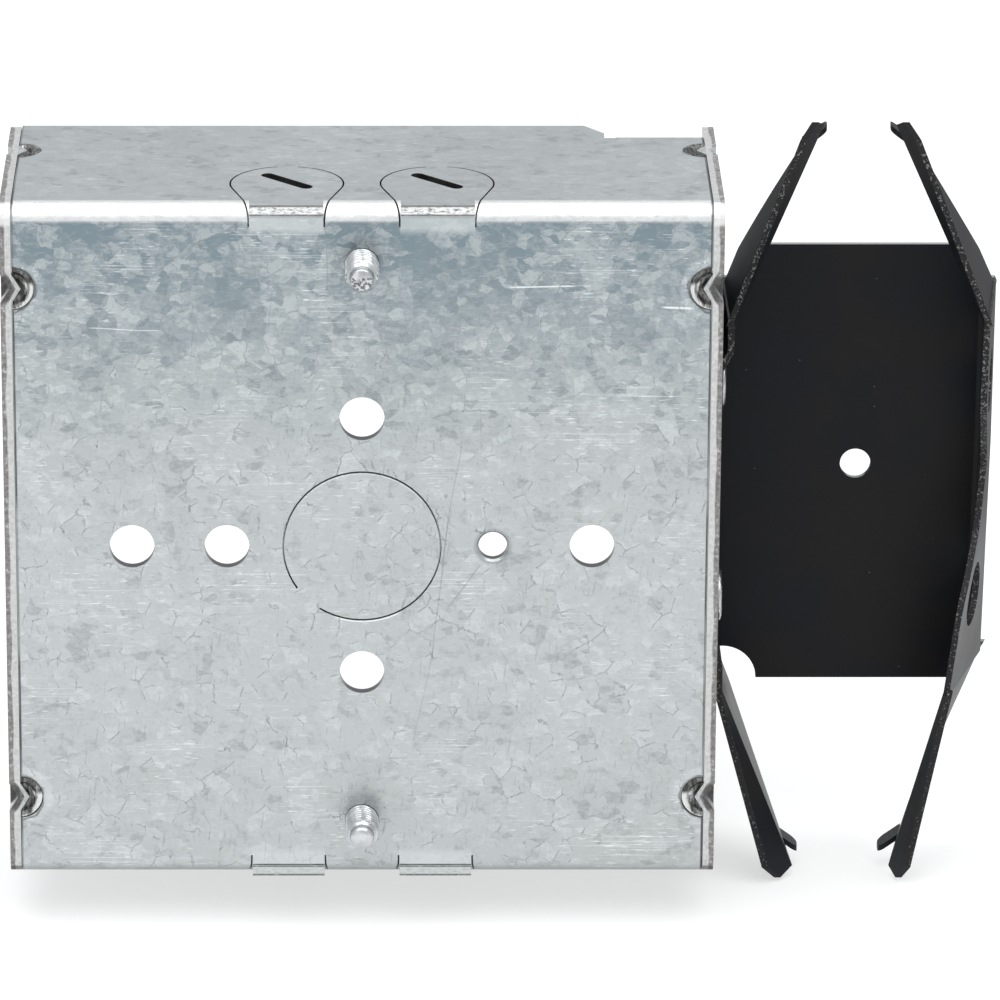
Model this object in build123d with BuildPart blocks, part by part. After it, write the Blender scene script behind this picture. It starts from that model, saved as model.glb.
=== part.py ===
from build123d import *
from math import radians, tan
import os

os.makedirs("parts", exist_ok=True)

# A square steel electrical box, 4 in by 4 in and 1-1/2 in deep, with cable clamps inside and a
# spring-steel clip that snaps over a steel stud. Millimetres.
# Origin: centre of the back's outer face. X to the right seen from the back, Z up, and Y runs
# from the back into the box, so that the open front lies at Y = box_depth.

# Box shell
box_width = 101.6
box_height = 101.6
box_depth = 38.1
sheet = 1.6
bend_radius = 2.8
seam = 0.1
rim_corner_radius = 0.8

# Scored lines of knockouts and pry-outs
score_width = 0.25
score_depth = 1.1
knockout_diameter = 22.4
knockout_tie = 4.4
knockout_tie_angle = 226.0

# Holes in the back
fixing_hole_diameter = 6.4
fixing_span_x = 65.4
fixing_span_z = 38.4
extra_hole_x = -19.2
ground_hole_x = 18.6
ground_hole_diameter = 4.1
ground_hole_chamfer = 0.3

# Pry-outs at the bends of the upper and the lower wall
pry_pitch = 21.2
pry_circle_diameter = 16.0
pry_circle_y = 10.2
pry_flat = 10.6
pry_corner = 3.2
pry_tie = 3.0
pry_slot_length = 9.6
pry_slot_width = 1.9
pry_slot_y = 11.4

# Stakes that hold the side plates to the folded sheet
stake_end_distance = 12.3
stake_y = 26.0
stake_notch_radius = 3.2
stake_notch_inner_radius = 2.4
stake_half_width = 2.1
stake_push = 1.3
stake_length = 2.6

# Ears for the cover screws
cover_screw_inset = 6.35
ear_setback = 3.7
ear_width = 12.6
ear_reach = 10.6
ear_bend_radius = 2.4
ear_corner_radius = 4.0
ear_step = 2.8

# Cover screws, 8-32
cover_screw_diameter = 4.16
cover_screw_length = 9.5
cover_head_diameter = 7.6
cover_head_height = 2.3
cover_slot_width = 1.1
cover_slot_depth = 1.1
cover_point_diameter = 3.2
cover_point_length = 0.8
thread_clearance = 0.05
head_gap = 0.1

# Cable clamps and their screws, 10-32
clamp_screw_inset = 8.7
clamp_gauge = 1.6
clamp_seat_y = 12.0
clamp_center_flat = 10.4
clamp_arch_rise = 1.8
clamp_arch_run = 1.8
clamp_arch_flat = 8.0
clamp_foot_drop = 4.2
clamp_foot_run = 3.0
clamp_wall_gap = 0.9
clamp_width = 17.0
clamp_bend_radius = 2.2
clamp_lip_drop = 3.0
clamp_lip_web = 0.6
clamp_saddle_radius = 6.6
clamp_screw_diameter = 4.8
clamp_screw_length = 19.4
clamp_point_diameter = 3.4
clamp_point_length = 1.4
clamp_head_diameter = 9.4
clamp_head_height = 3.0
clamp_slot_width = 1.4
clamp_slot_depth = 1.5
clamp_cross_length = 4.6
point_cone = 0.7

# Stud clip, one folded blank of spring steel
clip_gauge = 0.9
clip_setback = 2.1
clip_width = 41.6
clip_height = 67.5
clip_bend_radius = 2.3
clip_corner_relief = 5.0
clip_relief_shift = 2.6
clip_hole_diameter = 4.5
clip_hole_distance = 21.6
flange_depth = 21.2
flange_waist_depth = 12.5
flange_waist_half = 5.0
flange_lobe_start = 16.0
waist_radius = 6.0
lean_top = 7.2
lean_middle = 8.0
lean_middle_z = 4.0
lean_bottom = 18.2
joggle_top = 1.5
joggle_bottom = 0.7
joggle_start = 21.4
joggle_run = 2.8
access_hole_diameter = 9.4

# Arms of the clip. A crease runs from each arm's near root to its tip: behind it the arm carries on
# the flange, in front of it the arm flares outward.
arm_root_z = 28.0
arm_reach_z = 58.0
arm_crease_root = 0.8
arm_flare_root = 0.3
arm_crease_tip = 3.7
arm_corner_drop = 2.2
arm_point_run = 1.4
arm_crease_drop = 1.1
arm_neck_run = 7.0
arm_neck_drop = 5.2
arm_tip_radius = 0.9
arm_shoulder_depth = 2.8
arm_shoulder_rise = 5.0
arm_shoulder_radius = 4.0
arm_inset_upper_left = 12.8
arm_inset_upper_right = 13.6
arm_inset_lower_left = 11.4
arm_inset_lower_right = 7.5
arm_flare_upper_left = 2.3
arm_flare_upper_right = 2.0
arm_flare_lower_left = 3.6
arm_flare_lower_right = 1.9
arm_spread_upper_left = 1.7
arm_spread_upper_right = 2.8
arm_spread_lower_left = 0.3
arm_spread_lower_right = 2.1

# Tooth bent in at the end of each arm
tooth_run = 6.0
tooth_width = 3.2
tooth_reach = 3.4
tooth_rise = 2.5
tooth_drop = 5.4
tooth_radius = 1.1

# Rivets that hold the clip to the side plate
rivet_z = 16.5
rivet_rim_distance = 13.6
rivet_diameter = 4.8
rivet_head_diameter = 7.6
rivet_head_height = 0.8
rivet_clearance = 0.05

# Places worked out from the sizes
half_width = box_width / 2
half_height = box_height / 2
wrap_half = half_width - sheet - seam
wall_inside = half_height - sheet
clip_front_y = box_depth - clip_setback
clip_near_y = clip_front_y - flange_depth
clip_outer_x = half_width + clip_width
flange_half = clip_height / 2 - clip_corner_relief
rivet_y = box_depth - rivet_rim_distance
ear_y = box_depth - ear_setback
ear_end_x = wrap_half
ear_start_x = ear_end_x - ear_width
cover_screw_x = half_width - cover_screw_inset
cover_screw_z = half_height - cover_screw_inset
clamp_z = half_height - clamp_screw_inset
stake_z = half_height - stake_end_distance
clip_hole_x = half_width + clip_hole_distance
upper_plane = Plane(origin=(0, 0, half_height), x_dir=(1, 0, 0), z_dir=(0, 0, 1))


def scored_circle(diameter, tie_angle):
    """Thin ring with one tie left in it, drawn in the open sketch."""
    Circle(diameter / 2 + score_width / 2)
    Circle(diameter / 2 - score_width / 2, mode=Mode.SUBTRACT)
    with PolarLocations(diameter / 2, 1, start_angle=tie_angle):
        Rectangle(4 * score_width, knockout_tie, mode=Mode.SUBTRACT)


# Pry-out scores: a circle joined to a straight cut along the bend
with BuildSketch(mode=Mode.PRIVATE) as pry_outline:
    with BuildLine():
        CenterArc((0, pry_circle_y), pry_circle_diameter / 2, 0, 360)
        Line((-pry_flat / 2, 0), (pry_flat / 2, 0))
    make_hull()

with BuildPart() as pry_scores:
    with BuildSketch(upper_plane):
        with GridLocations(pry_pitch, 1, 2, 1):
            add(offset(pry_outline.sketch, score_width / 2, mode=Mode.PRIVATE))
            add(offset(pry_outline.sketch, -score_width / 2, mode=Mode.PRIVATE), mode=Mode.SUBTRACT)
            with Locations((0, pry_circle_y + pry_circle_diameter / 2)):
                Rectangle(pry_tie, 4 * score_width, mode=Mode.SUBTRACT)
    extrude(amount=-score_depth)
    with BuildSketch(upper_plane):
        with GridLocations(pry_pitch, 1, 2, 1):
            add(offset(pry_outline.sketch, score_width / 2, mode=Mode.PRIVATE))
            add(offset(pry_outline.sketch, -score_width / 2, mode=Mode.PRIVATE), mode=Mode.SUBTRACT)
            with Locations((0, pry_corner + box_depth / 2)):
                Rectangle(pry_pitch, box_depth, mode=Mode.SUBTRACT)
    extrude(amount=-pry_corner)
    with BuildSketch(upper_plane):
        with Locations((-pry_pitch / 2, pry_slot_y), (pry_pitch / 2, pry_slot_y)):
            SlotOverall(pry_slot_length, pry_slot_width, rotation=-45)
    extrude(amount=-2 * sheet, both=True)
    mirror(about=Plane.XY)

# Square corner of each pry-out, where its end stays flat in the wall's plane
with BuildPart() as pry_corners:
    for side in (-1, 1):
        with Locations((side * pry_pitch / 2, pry_corner / 2, half_height - pry_corner / 2)):
            Box(pry_flat - score_width, pry_corner, pry_corner)
    with BuildSketch(Plane.YZ):
        with Locations((sheet, half_height - pry_corner)):
            Rectangle(pry_corner, pry_corner - sheet, align=(Align.MIN, Align.MIN))
    extrude(amount=pry_pitch, both=True, mode=Mode.SUBTRACT)
    with BuildSketch(Plane.YZ):
        with Locations((0, wall_inside - score_width)):
            Rectangle(score_depth, score_width, align=(Align.MIN, Align.MIN))
    extrude(amount=pry_pitch, both=True, mode=Mode.SUBTRACT)
    mirror(about=Plane.XY)

# Half-round notches of the stakes, in the ends of the folded sheet
with BuildPart() as stake_notches:
    for side in (-1, 1):
        for end in (-1, 1):
            with Locations(Location((side * wrap_half, sheet / 2, end * stake_z), (90, 0, 0))):
                Cone(stake_notch_inner_radius, stake_notch_radius, sheet)
            with Locations(Location((side * wrap_half, stake_y, half_height - sheet / 2))):
                Cone(stake_notch_inner_radius, stake_notch_radius, sheet)
    mirror(about=Plane.XY)

# Ear bent in from the upper wall for one cover screw
with BuildPart() as ear:
    with BuildSketch(Plane.YZ.offset(ear_start_x)):
        with BuildLine():
            FilletPolyline(
                (ear_y - 2 * ear_bend_radius, half_height),
                (ear_y, half_height),
                (ear_y, wall_inside - ear_reach),
                radius=ear_bend_radius,
            )
            offset(amount=sheet, side=Side.RIGHT)
        make_face()
    extrude(amount=ear_width)
    fillet(ear.edges().filter_by(Axis.Y).group_by(Axis.Z)[0].sort_by(Axis.X)[0], ear_corner_radius)
    fillet(ear.edges().filter_by(Axis.Y).group_by(Axis.Z)[0].sort_by(Axis.X)[-1], ear_corner_radius / 2)
    with BuildSketch(Plane.XZ.offset(-ear_y)):
        with Locations((cover_screw_x, cover_screw_z)):
            Circle(cover_screw_diameter / 2 + thread_clearance)
    extrude(amount=2 * sheet, both=True, mode=Mode.SUBTRACT)

# Folded sheet: back, upper wall and lower wall in one piece
with BuildPart() as folded_shell:
    with BuildSketch(Plane.YZ):
        with BuildLine():
            FilletPolyline(
                (box_depth, half_height),
                (0, half_height),
                (0, -half_height),
                (box_depth, -half_height),
                radius=bend_radius,
            )
            offset(amount=sheet, side=Side.LEFT)
        make_face()
    extrude(amount=wrap_half, both=True)
    with BuildSketch(upper_plane):
        with BuildLine():
            Polyline(
                (ear_start_x - ear_step - sheet, box_depth),
                (ear_start_x - sheet, ear_y),
                (ear_start_x - sheet, ear_y - ear_bend_radius),
                (ear_end_x, ear_y - ear_bend_radius),
                (ear_end_x, box_depth),
                close=True,
            )
        make_face()
    rim_step = extrude(amount=-2 * sheet, mode=Mode.PRIVATE)
    add(rim_step, mode=Mode.SUBTRACT)
    add(rim_step.rotate(Axis.Y, 180), mode=Mode.SUBTRACT)
    add(ear.part)
    add(ear.part.rotate(Axis.Y, 180))
    add(pry_scores.part, mode=Mode.SUBTRACT)
    add(pry_corners.part)
    add(stake_notches.part, mode=Mode.SUBTRACT)
    with BuildSketch(Plane.XZ):
        scored_circle(knockout_diameter, knockout_tie_angle)
    extrude(amount=-score_depth, mode=Mode.SUBTRACT)
    with BuildSketch(Plane.XZ):
        with GridLocations(fixing_span_x, 1, 2, 1):
            Circle(fixing_hole_diameter / 2)
        with GridLocations(1, fixing_span_z, 1, 2):
            Circle(fixing_hole_diameter / 2)
        with Locations((extra_hole_x, 0)):
            Circle(fixing_hole_diameter / 2)
        with Locations((ground_hole_x, 0)):
            Circle(ground_hole_diameter / 2)
        with GridLocations(1, 2 * clamp_z, 1, 2):
            Circle(clamp_screw_diameter / 2 + thread_clearance)
    extrude(amount=-sheet, mode=Mode.SUBTRACT)
    ground_rim = (
        folded_shell.edges()
        .filter_by(GeomType.CIRCLE)
        .filter_by(lambda edge: abs(edge.radius - ground_hole_diameter / 2) < 0.01)
        .sort_by(Axis.Y)[0]
    )
    chamfer(ground_rim, ground_hole_chamfer)
folded_shell.part.label = "folded_shell"
export_step(folded_shell.part, "parts/folded_shell.step")

# Blank of a side plate, drawn on the left and pushed in at its four stakes
with BuildPart() as plate_blank:
    with BuildSketch(Plane.YZ.offset(-half_width)):
        with Locations((box_depth / 2, 0)):
            Rectangle(box_depth, box_height)
    extrude(amount=sheet)
    fillet(plate_blank.edges().filter_by(Axis.X).group_by(Axis.Y)[0], bend_radius)
    fillet(plate_blank.edges().filter_by(Axis.X).group_by(Axis.Y)[-1], rim_corner_radius)
    for end in (-1, 1):
        for reach, mode in ((0, Mode.SUBTRACT), (sheet, Mode.ADD)):
            with BuildSketch(Plane.XZ):
                with BuildLine():
                    Polyline(
                        (-half_width + reach, end * stake_z - stake_half_width),
                        (-half_width + reach + stake_push, end * stake_z),
                        (-half_width + reach, end * stake_z + stake_half_width),
                        close=True,
                    )
                make_face()
            extrude(amount=-stake_length, mode=mode)
            with BuildSketch(Plane.XY.offset(end * half_height)):
                with BuildLine():
                    Polyline(
                        (-half_width + reach, stake_y - stake_half_width),
                        (-half_width + reach + stake_push, stake_y),
                        (-half_width + reach, stake_y + stake_half_width),
                        close=True,
                    )
                make_face()
            extrude(amount=-end * stake_length, mode=mode)

# Left side plate, with two knockouts
with BuildPart() as left_side_plate:
    add(plate_blank.part)
    with BuildSketch(Plane.YZ.offset(-half_width)):
        with Locations((box_depth / 2, -box_height / 5), (box_depth / 2, box_height / 5)):
            scored_circle(knockout_diameter, 0)
    extrude(amount=score_depth, mode=Mode.SUBTRACT)
left_side_plate.part.label = "left_side_plate"
export_step(left_side_plate.part, "parts/left_side_plate.step")

# Right side plate, which carries the clip, with one knockout and two rivet holes
with BuildPart() as clip_side_plate:
    add(mirror(plate_blank.part, about=Plane.YZ))
    with BuildSketch(Plane.YZ.offset(half_width)):
        with Locations((box_depth / 2, 0)):
            scored_circle(knockout_diameter, 180)
    extrude(amount=-score_depth, mode=Mode.SUBTRACT)
    with BuildSketch(Plane.YZ.offset(half_width)):
        with Locations((rivet_y, -rivet_z), (rivet_y, rivet_z)):
            Circle(rivet_diameter / 2 + rivet_clearance)
    extrude(amount=-sheet, mode=Mode.SUBTRACT)
clip_side_plate.part.label = "clip_side_plate"
export_step(clip_side_plate.part, "parts/clip_side_plate.step")

# Clip blank seen from the side: flange with its waist, and the two tapering arms
waist_y = clip_front_y - flange_waist_depth
arm_shoulder_y = clip_front_y - arm_shoulder_depth

with BuildPart() as side_profile:
    with BuildSketch(Plane.YZ.offset(half_width)):
        with BuildLine():
            Polyline(
                (waist_y, 0),
                (waist_y, flange_waist_half),
                (clip_near_y, flange_lobe_start),
                (clip_near_y, arm_reach_z - arm_corner_drop),
                (clip_near_y + arm_point_run, arm_reach_z),
                (clip_near_y + arm_crease_tip, arm_reach_z - arm_crease_drop),
                (clip_near_y + arm_neck_run, arm_reach_z - arm_neck_drop),
                (arm_shoulder_y, flange_half + arm_shoulder_rise),
                (arm_shoulder_y, flange_half),
                (clip_front_y, flange_half),
                (clip_front_y, 0),
                close=True,
            )
        make_face()
        corners = vertices().group_by(Axis.Y)
        fillet(corners[1] + corners[2], waist_radius)
        fillet(corners[4], arm_shoulder_radius)
        fillet(corners[5] + corners[6] + corners[8], arm_tip_radius)
    extrude(amount=2 * clip_width)
    mirror(about=Plane.XY)


def flange_section(z, lean):
    """Section of the plate's right end and the leaning flange, at height z."""
    with BuildSketch(Plane.XY.offset(z)) as section:
        with BuildLine():
            FilletPolyline(
                (clip_outer_x - 2 * clip_bend_radius, clip_front_y),
                (clip_outer_x, clip_front_y),
                (clip_outer_x - tan(radians(lean)) * flange_depth, clip_near_y),
                radius=clip_bend_radius,
            )
            offset(amount=clip_gauge, side=Side.RIGHT)
        make_face()
    return section.sketch


def crease_root_x(end):
    """X of the leaning flange's outer face where an arm's crease begins."""
    lean = lean_top if end > 0 else lean_bottom
    return clip_outer_x - tan(radians(lean)) * (flange_depth - arm_crease_root)


def arm_section(z, inward, near_x, crease_x, far_x, crease_run):
    """Section of an arm at height z: near edge, crease and far edge, with its gauge laid inward."""
    crease_y = clip_near_y + crease_run
    lay = inward * clip_gauge
    with BuildSketch(Plane.XY.offset(z)) as section:
        with BuildLine():
            Polyline(
                (near_x, clip_near_y),
                (crease_x, crease_y),
                (far_x, clip_front_y),
                (far_x + lay, clip_front_y),
                (crease_x + lay, crease_y),
                (near_x + lay, clip_near_y),
                close=True,
            )
        make_face()
    return section.sketch


def arm(inward, end, crease_x, far_x, inset, flare, spread):
    """One arm, from the flange's X at its root's crease and far edge to its tip over the channel."""
    tip_x = crease_x + inward * inset
    root = arm_section(
        end * arm_root_z,
        inward,
        crease_x - inward * arm_flare_root,
        crease_x,
        far_x,
        arm_crease_root,
    )
    tip = arm_section(
        end * arm_reach_z,
        inward,
        tip_x - inward * flare,
        tip_x,
        tip_x - inward * spread,
        arm_crease_tip,
    )
    return loft([root, tip], ruled=True, mode=Mode.PRIVATE)


def tooth(inward, end, root_x, inset):
    """Tooth of an arm: a short strip bent in and outward, with a rounded end."""
    rise = arm_reach_z - tooth_drop
    x = root_x + inward * inset * (rise - arm_root_z) / (arm_reach_z - arm_root_z)
    with BuildPart() as strip:
        with BuildSketch(Plane.XZ.offset(-clip_near_y - tooth_run)):
            with BuildLine():
                Polyline(
                    (x, end * rise),
                    (x + inward * tooth_reach, end * (rise + tooth_rise)),
                    (x + inward * tooth_reach, end * (rise + tooth_rise + clip_gauge)),
                    (x, end * (rise + clip_gauge)),
                    close=True,
                )
            make_face()
        extrude(amount=-tooth_width)
        fillet(strip.edges().filter_by(Axis.Z).group_by(Axis.X)[-1 if inward > 0 else 0], tooth_radius)
    return strip.part


# Clip flange on the box, flat between the joggles that lead to its arms
with BuildPart() as box_flange:
    with BuildSketch(Plane.XZ.offset(-clip_near_y)):
        with BuildLine():
            Polyline(
                (half_width + joggle_bottom, -flange_half),
                (half_width + joggle_bottom, -joggle_start - joggle_run),
                (half_width, -joggle_start),
                (half_width, joggle_start),
                (half_width + joggle_top, joggle_start + joggle_run),
                (half_width + joggle_top, flange_half),
            )
            offset(amount=clip_gauge, side=Side.RIGHT)
        make_face()
    extrude(amount=-(flange_depth - clip_gauge / 2))
    for end, joggle, inset, flare, spread in (
        (1, joggle_top, arm_inset_upper_left, arm_flare_upper_left, arm_spread_upper_left),
        (-1, joggle_bottom, arm_inset_lower_left, arm_flare_lower_left, arm_spread_lower_left),
    ):
        add(arm(1, end, half_width + joggle, half_width + joggle, inset, flare, spread))
    add(side_profile.part, mode=Mode.INTERSECT)
    add(tooth(1, 1, half_width + joggle_top, arm_inset_upper_left))
    add(tooth(1, -1, half_width + joggle_bottom, arm_inset_lower_left))
    with BuildSketch(Plane.YZ.offset(half_width)):
        with Locations((rivet_y, -rivet_z), (rivet_y, rivet_z)):
            Circle(rivet_diameter / 2 + rivet_clearance)
    extrude(amount=2 * clip_gauge, mode=Mode.SUBTRACT)

# Clip flange away from the box, which leans in more at its lower end
with BuildPart() as far_flange:
    add(
        loft(
            [
                flange_section(-flange_half, lean_bottom),
                flange_section(lean_middle_z, lean_middle),
                flange_section(flange_half, lean_top),
            ],
            ruled=True,
            mode=Mode.PRIVATE,
        )
    )
    for end, inset, flare, spread in (
        (1, arm_inset_upper_right, arm_flare_upper_right, arm_spread_upper_right),
        (-1, arm_inset_lower_right, arm_flare_lower_right, arm_spread_lower_right),
    ):
        add(arm(-1, end, crease_root_x(end), clip_outer_x, inset, flare, spread))
    add(side_profile.part, mode=Mode.INTERSECT)
    add(tooth(-1, 1, crease_root_x(1), arm_inset_upper_right))
    add(tooth(-1, -1, crease_root_x(-1), arm_inset_lower_right))
    with BuildSketch(Plane.YZ.offset(half_width + clip_width / 2)):
        with Locations((rivet_y, -rivet_z), (rivet_y, rivet_z)):
            Circle(access_hole_diameter / 2)
    extrude(amount=clip_width, mode=Mode.SUBTRACT)

# Whole clip: the plate with its four corner arcs and one hole, and the two flanges
with BuildPart() as stud_clip:
    with BuildSketch(Plane.XZ.offset(-clip_front_y)):
        with Locations((half_width + (clip_width - clip_bend_radius) / 2, 0)):
            Rectangle(clip_width - clip_bend_radius, clip_height)
        for end in (-1, 1):
            with Locations(
                (half_width + clip_relief_shift, end * clip_height / 2),
                (clip_outer_x, end * clip_height / 2),
            ):
                Circle(clip_corner_relief, mode=Mode.SUBTRACT)
        with Locations((clip_hole_x, 0)):
            Circle(clip_hole_diameter / 2, mode=Mode.SUBTRACT)
    extrude(amount=clip_gauge)
    add(box_flange.part)
    add(far_flange.part)
stud_clip.part.label = "stud_clip"
export_step(stud_clip.part, "parts/stud_clip.step")

# Rivets through the side plate and the clip's near flange
for name, end in (("upper_rivet", 1), ("lower_rivet", -1)):
    with BuildPart() as rivet:
        with BuildSketch(Plane.XY.offset(end * rivet_z)):
            with BuildLine():
                Polyline(
                    (half_width - sheet - rivet_head_height, rivet_y),
                    (half_width - sheet - rivet_head_height, rivet_y + rivet_head_diameter / 2),
                    (half_width - sheet, rivet_y + rivet_head_diameter / 2),
                    (half_width - sheet, rivet_y + rivet_diameter / 2),
                    (half_width + clip_gauge, rivet_y + rivet_diameter / 2),
                    (half_width + clip_gauge, rivet_y + rivet_head_diameter / 2),
                    (half_width + clip_gauge + rivet_head_height, rivet_y + rivet_head_diameter / 2),
                    (half_width + clip_gauge + rivet_head_height, rivet_y),
                    close=True,
                )
            make_face()
        revolve(axis=Axis((0, rivet_y, end * rivet_z), (1, 0, 0)))
        fillet(rivet.edges().filter_by(GeomType.CIRCLE).group_by(Axis.X)[0], rivet_head_height / 2)
        fillet(rivet.edges().filter_by(GeomType.CIRCLE).group_by(Axis.X)[-1], rivet_head_height / 2)
    rivet.part.label = name
    export_step(rivet.part, f"parts/{name}.step")

# Clamp seen from above: centre flat under the screw, an arch over each cable, and two feet
arch_start_x = clamp_center_flat / 2
arch_x = arch_start_x + clamp_arch_run
arch_end_x = arch_x + clamp_arch_flat
foot_x = arch_end_x + clamp_foot_run
arch_y = clamp_seat_y + clamp_arch_rise
foot_y = arch_y - clamp_foot_drop
clamp_top_z = wall_inside - clamp_wall_gap
saddle_x = (arch_x + arch_end_x) / 2
saddle_y = arch_y - clamp_gauge - clamp_lip_web - clamp_saddle_radius

with BuildPart() as clamp_blank:
    with BuildSketch(Plane.XY.offset(clamp_top_z)):
        with BuildLine():
            FilletPolyline(
                (-foot_x, foot_y),
                (-arch_end_x, arch_y),
                (-arch_x, arch_y),
                (-arch_start_x, clamp_seat_y),
                (arch_start_x, clamp_seat_y),
                (arch_x, arch_y),
                (arch_end_x, arch_y),
                (foot_x, foot_y),
                radius=clamp_bend_radius,
            )
            offset(amount=clamp_gauge, side=Side.RIGHT)
        make_face()
    extrude(amount=-clamp_width)
    with BuildSketch(Plane.XY.offset(clamp_top_z - clamp_width)):
        with BuildLine():
            Polyline(
                (-foot_x, clamp_seat_y - clamp_gauge - clamp_lip_drop),
                (-foot_x, foot_y - clamp_gauge / 2),
                (-arch_end_x, arch_y - clamp_gauge / 2),
                (-arch_x, arch_y - clamp_gauge / 2),
                (-arch_start_x, clamp_seat_y - clamp_gauge / 2),
                (arch_start_x, clamp_seat_y - clamp_gauge / 2),
                (arch_x, arch_y - clamp_gauge / 2),
                (arch_end_x, arch_y - clamp_gauge / 2),
                (foot_x, foot_y - clamp_gauge / 2),
                (foot_x, clamp_seat_y - clamp_gauge - clamp_lip_drop),
                close=True,
            )
        make_face()
        with Locations((-saddle_x, saddle_y), (saddle_x, saddle_y)):
            Circle(clamp_saddle_radius, mode=Mode.SUBTRACT)
    extrude(amount=clamp_gauge)
    with BuildSketch(Plane.XZ.offset(-clamp_seat_y)):
        with Locations((0, clamp_z)):
            Circle(clamp_screw_diameter / 2 + thread_clearance)
    extrude(amount=2 * clamp_gauge, mode=Mode.SUBTRACT)

for name, turn in (("upper_clamp", 0), ("lower_clamp", 180)):
    with BuildPart() as clamp:
        add(clamp_blank.part.rotate(Axis.Y, turn))
    clamp.part.label = name
    export_step(clamp.part, f"parts/{name}.step")


def screw_blank(x, z, seat_y, length, diameter, head_diameter, head_height, point_diameter, point_length):
    """Slotless screw along Y, with a rounded pan head whose underside lies at seat_y."""
    with BuildPart() as screw:
        with BuildSketch(Plane.XY.offset(z)):
            with BuildLine():
                Polyline(
                    (x, seat_y + head_height),
                    (x + head_diameter / 2, seat_y + head_height),
                    (x + head_diameter / 2, seat_y),
                    (x + diameter / 2, seat_y),
                    (x + diameter / 2, seat_y - length + point_length + point_cone),
                    (x + point_diameter / 2, seat_y - length + point_length),
                    (x + point_diameter / 2, seat_y - length),
                    (x, seat_y - length),
                    close=True,
                )
            make_face()
        revolve(axis=Axis((x, 0, z), (0, 1, 0)))
        rims = screw.edges().filter_by(GeomType.CIRCLE).group_by(Axis.Y)
        fillet(rims[0], point_length / 2)
        fillet(rims[-1], head_height / 2)
    return screw.part


# Clamp screws, whose points stand out of the back
for name, end in (("upper_clamp_screw", 1), ("lower_clamp_screw", -1)):
    seat_y = clamp_seat_y + head_gap
    with BuildPart() as clamp_screw:
        add(
            screw_blank(
                0,
                end * clamp_z,
                seat_y,
                clamp_screw_length,
                clamp_screw_diameter,
                clamp_head_diameter,
                clamp_head_height,
                clamp_point_diameter,
                clamp_point_length,
            )
        )
        with Locations((0, seat_y + clamp_head_height - clamp_slot_depth / 2, end * clamp_z)):
            Box(clamp_head_diameter, clamp_slot_depth, clamp_slot_width, mode=Mode.SUBTRACT)
            Box(clamp_slot_width, clamp_slot_depth, clamp_cross_length, mode=Mode.SUBTRACT)
    clamp_screw.part.label = name
    export_step(clamp_screw.part, f"parts/{name}.step")

# Cover screws, driven home in their ears
for name, end in (("upper_cover_screw", 1), ("lower_cover_screw", -1)):
    seat_y = ear_y + head_gap
    with BuildPart() as cover_screw:
        add(
            screw_blank(
                end * cover_screw_x,
                end * cover_screw_z,
                seat_y,
                cover_screw_length,
                cover_screw_diameter,
                cover_head_diameter,
                cover_head_height,
                cover_point_diameter,
                cover_point_length,
            )
        )
        with Locations(
            (end * cover_screw_x, seat_y + cover_head_height - cover_slot_depth / 2, end * cover_screw_z)
        ):
            Box(cover_head_diameter, cover_slot_depth, cover_slot_width, mode=Mode.SUBTRACT)
    cover_screw.part.label = name
    export_step(cover_screw.part, f"parts/{name}.step")
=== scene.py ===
"""Looks of a square steel electrical box with cable clamps and a spring clip for a steel stud."""

import logging
import math
from dataclasses import dataclass
from enum import Enum

import bmesh
import bpy
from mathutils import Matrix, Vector


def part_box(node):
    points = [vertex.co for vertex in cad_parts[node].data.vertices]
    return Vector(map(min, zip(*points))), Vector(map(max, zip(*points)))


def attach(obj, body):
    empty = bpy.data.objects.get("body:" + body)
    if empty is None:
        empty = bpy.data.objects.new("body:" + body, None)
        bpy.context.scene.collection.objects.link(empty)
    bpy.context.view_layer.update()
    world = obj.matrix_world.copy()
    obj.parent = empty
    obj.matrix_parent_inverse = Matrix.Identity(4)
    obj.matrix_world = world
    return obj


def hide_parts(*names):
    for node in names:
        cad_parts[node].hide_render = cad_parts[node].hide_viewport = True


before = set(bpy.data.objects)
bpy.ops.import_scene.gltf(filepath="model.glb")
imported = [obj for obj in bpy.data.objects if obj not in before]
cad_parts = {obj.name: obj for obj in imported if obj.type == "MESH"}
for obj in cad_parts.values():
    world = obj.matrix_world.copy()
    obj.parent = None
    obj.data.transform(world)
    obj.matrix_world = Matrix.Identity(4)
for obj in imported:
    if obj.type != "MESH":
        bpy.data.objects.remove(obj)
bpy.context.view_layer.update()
LOG = logging.getLogger("electrical_box")

MM = 0.001
Colour = tuple[float, float, float]

# Sockets of the Mix node that its colours use.
MIX_FACTOR, MIX_FIRST, MIX_SECOND, MIX_RESULT = 0, 6, 7, 2


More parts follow.
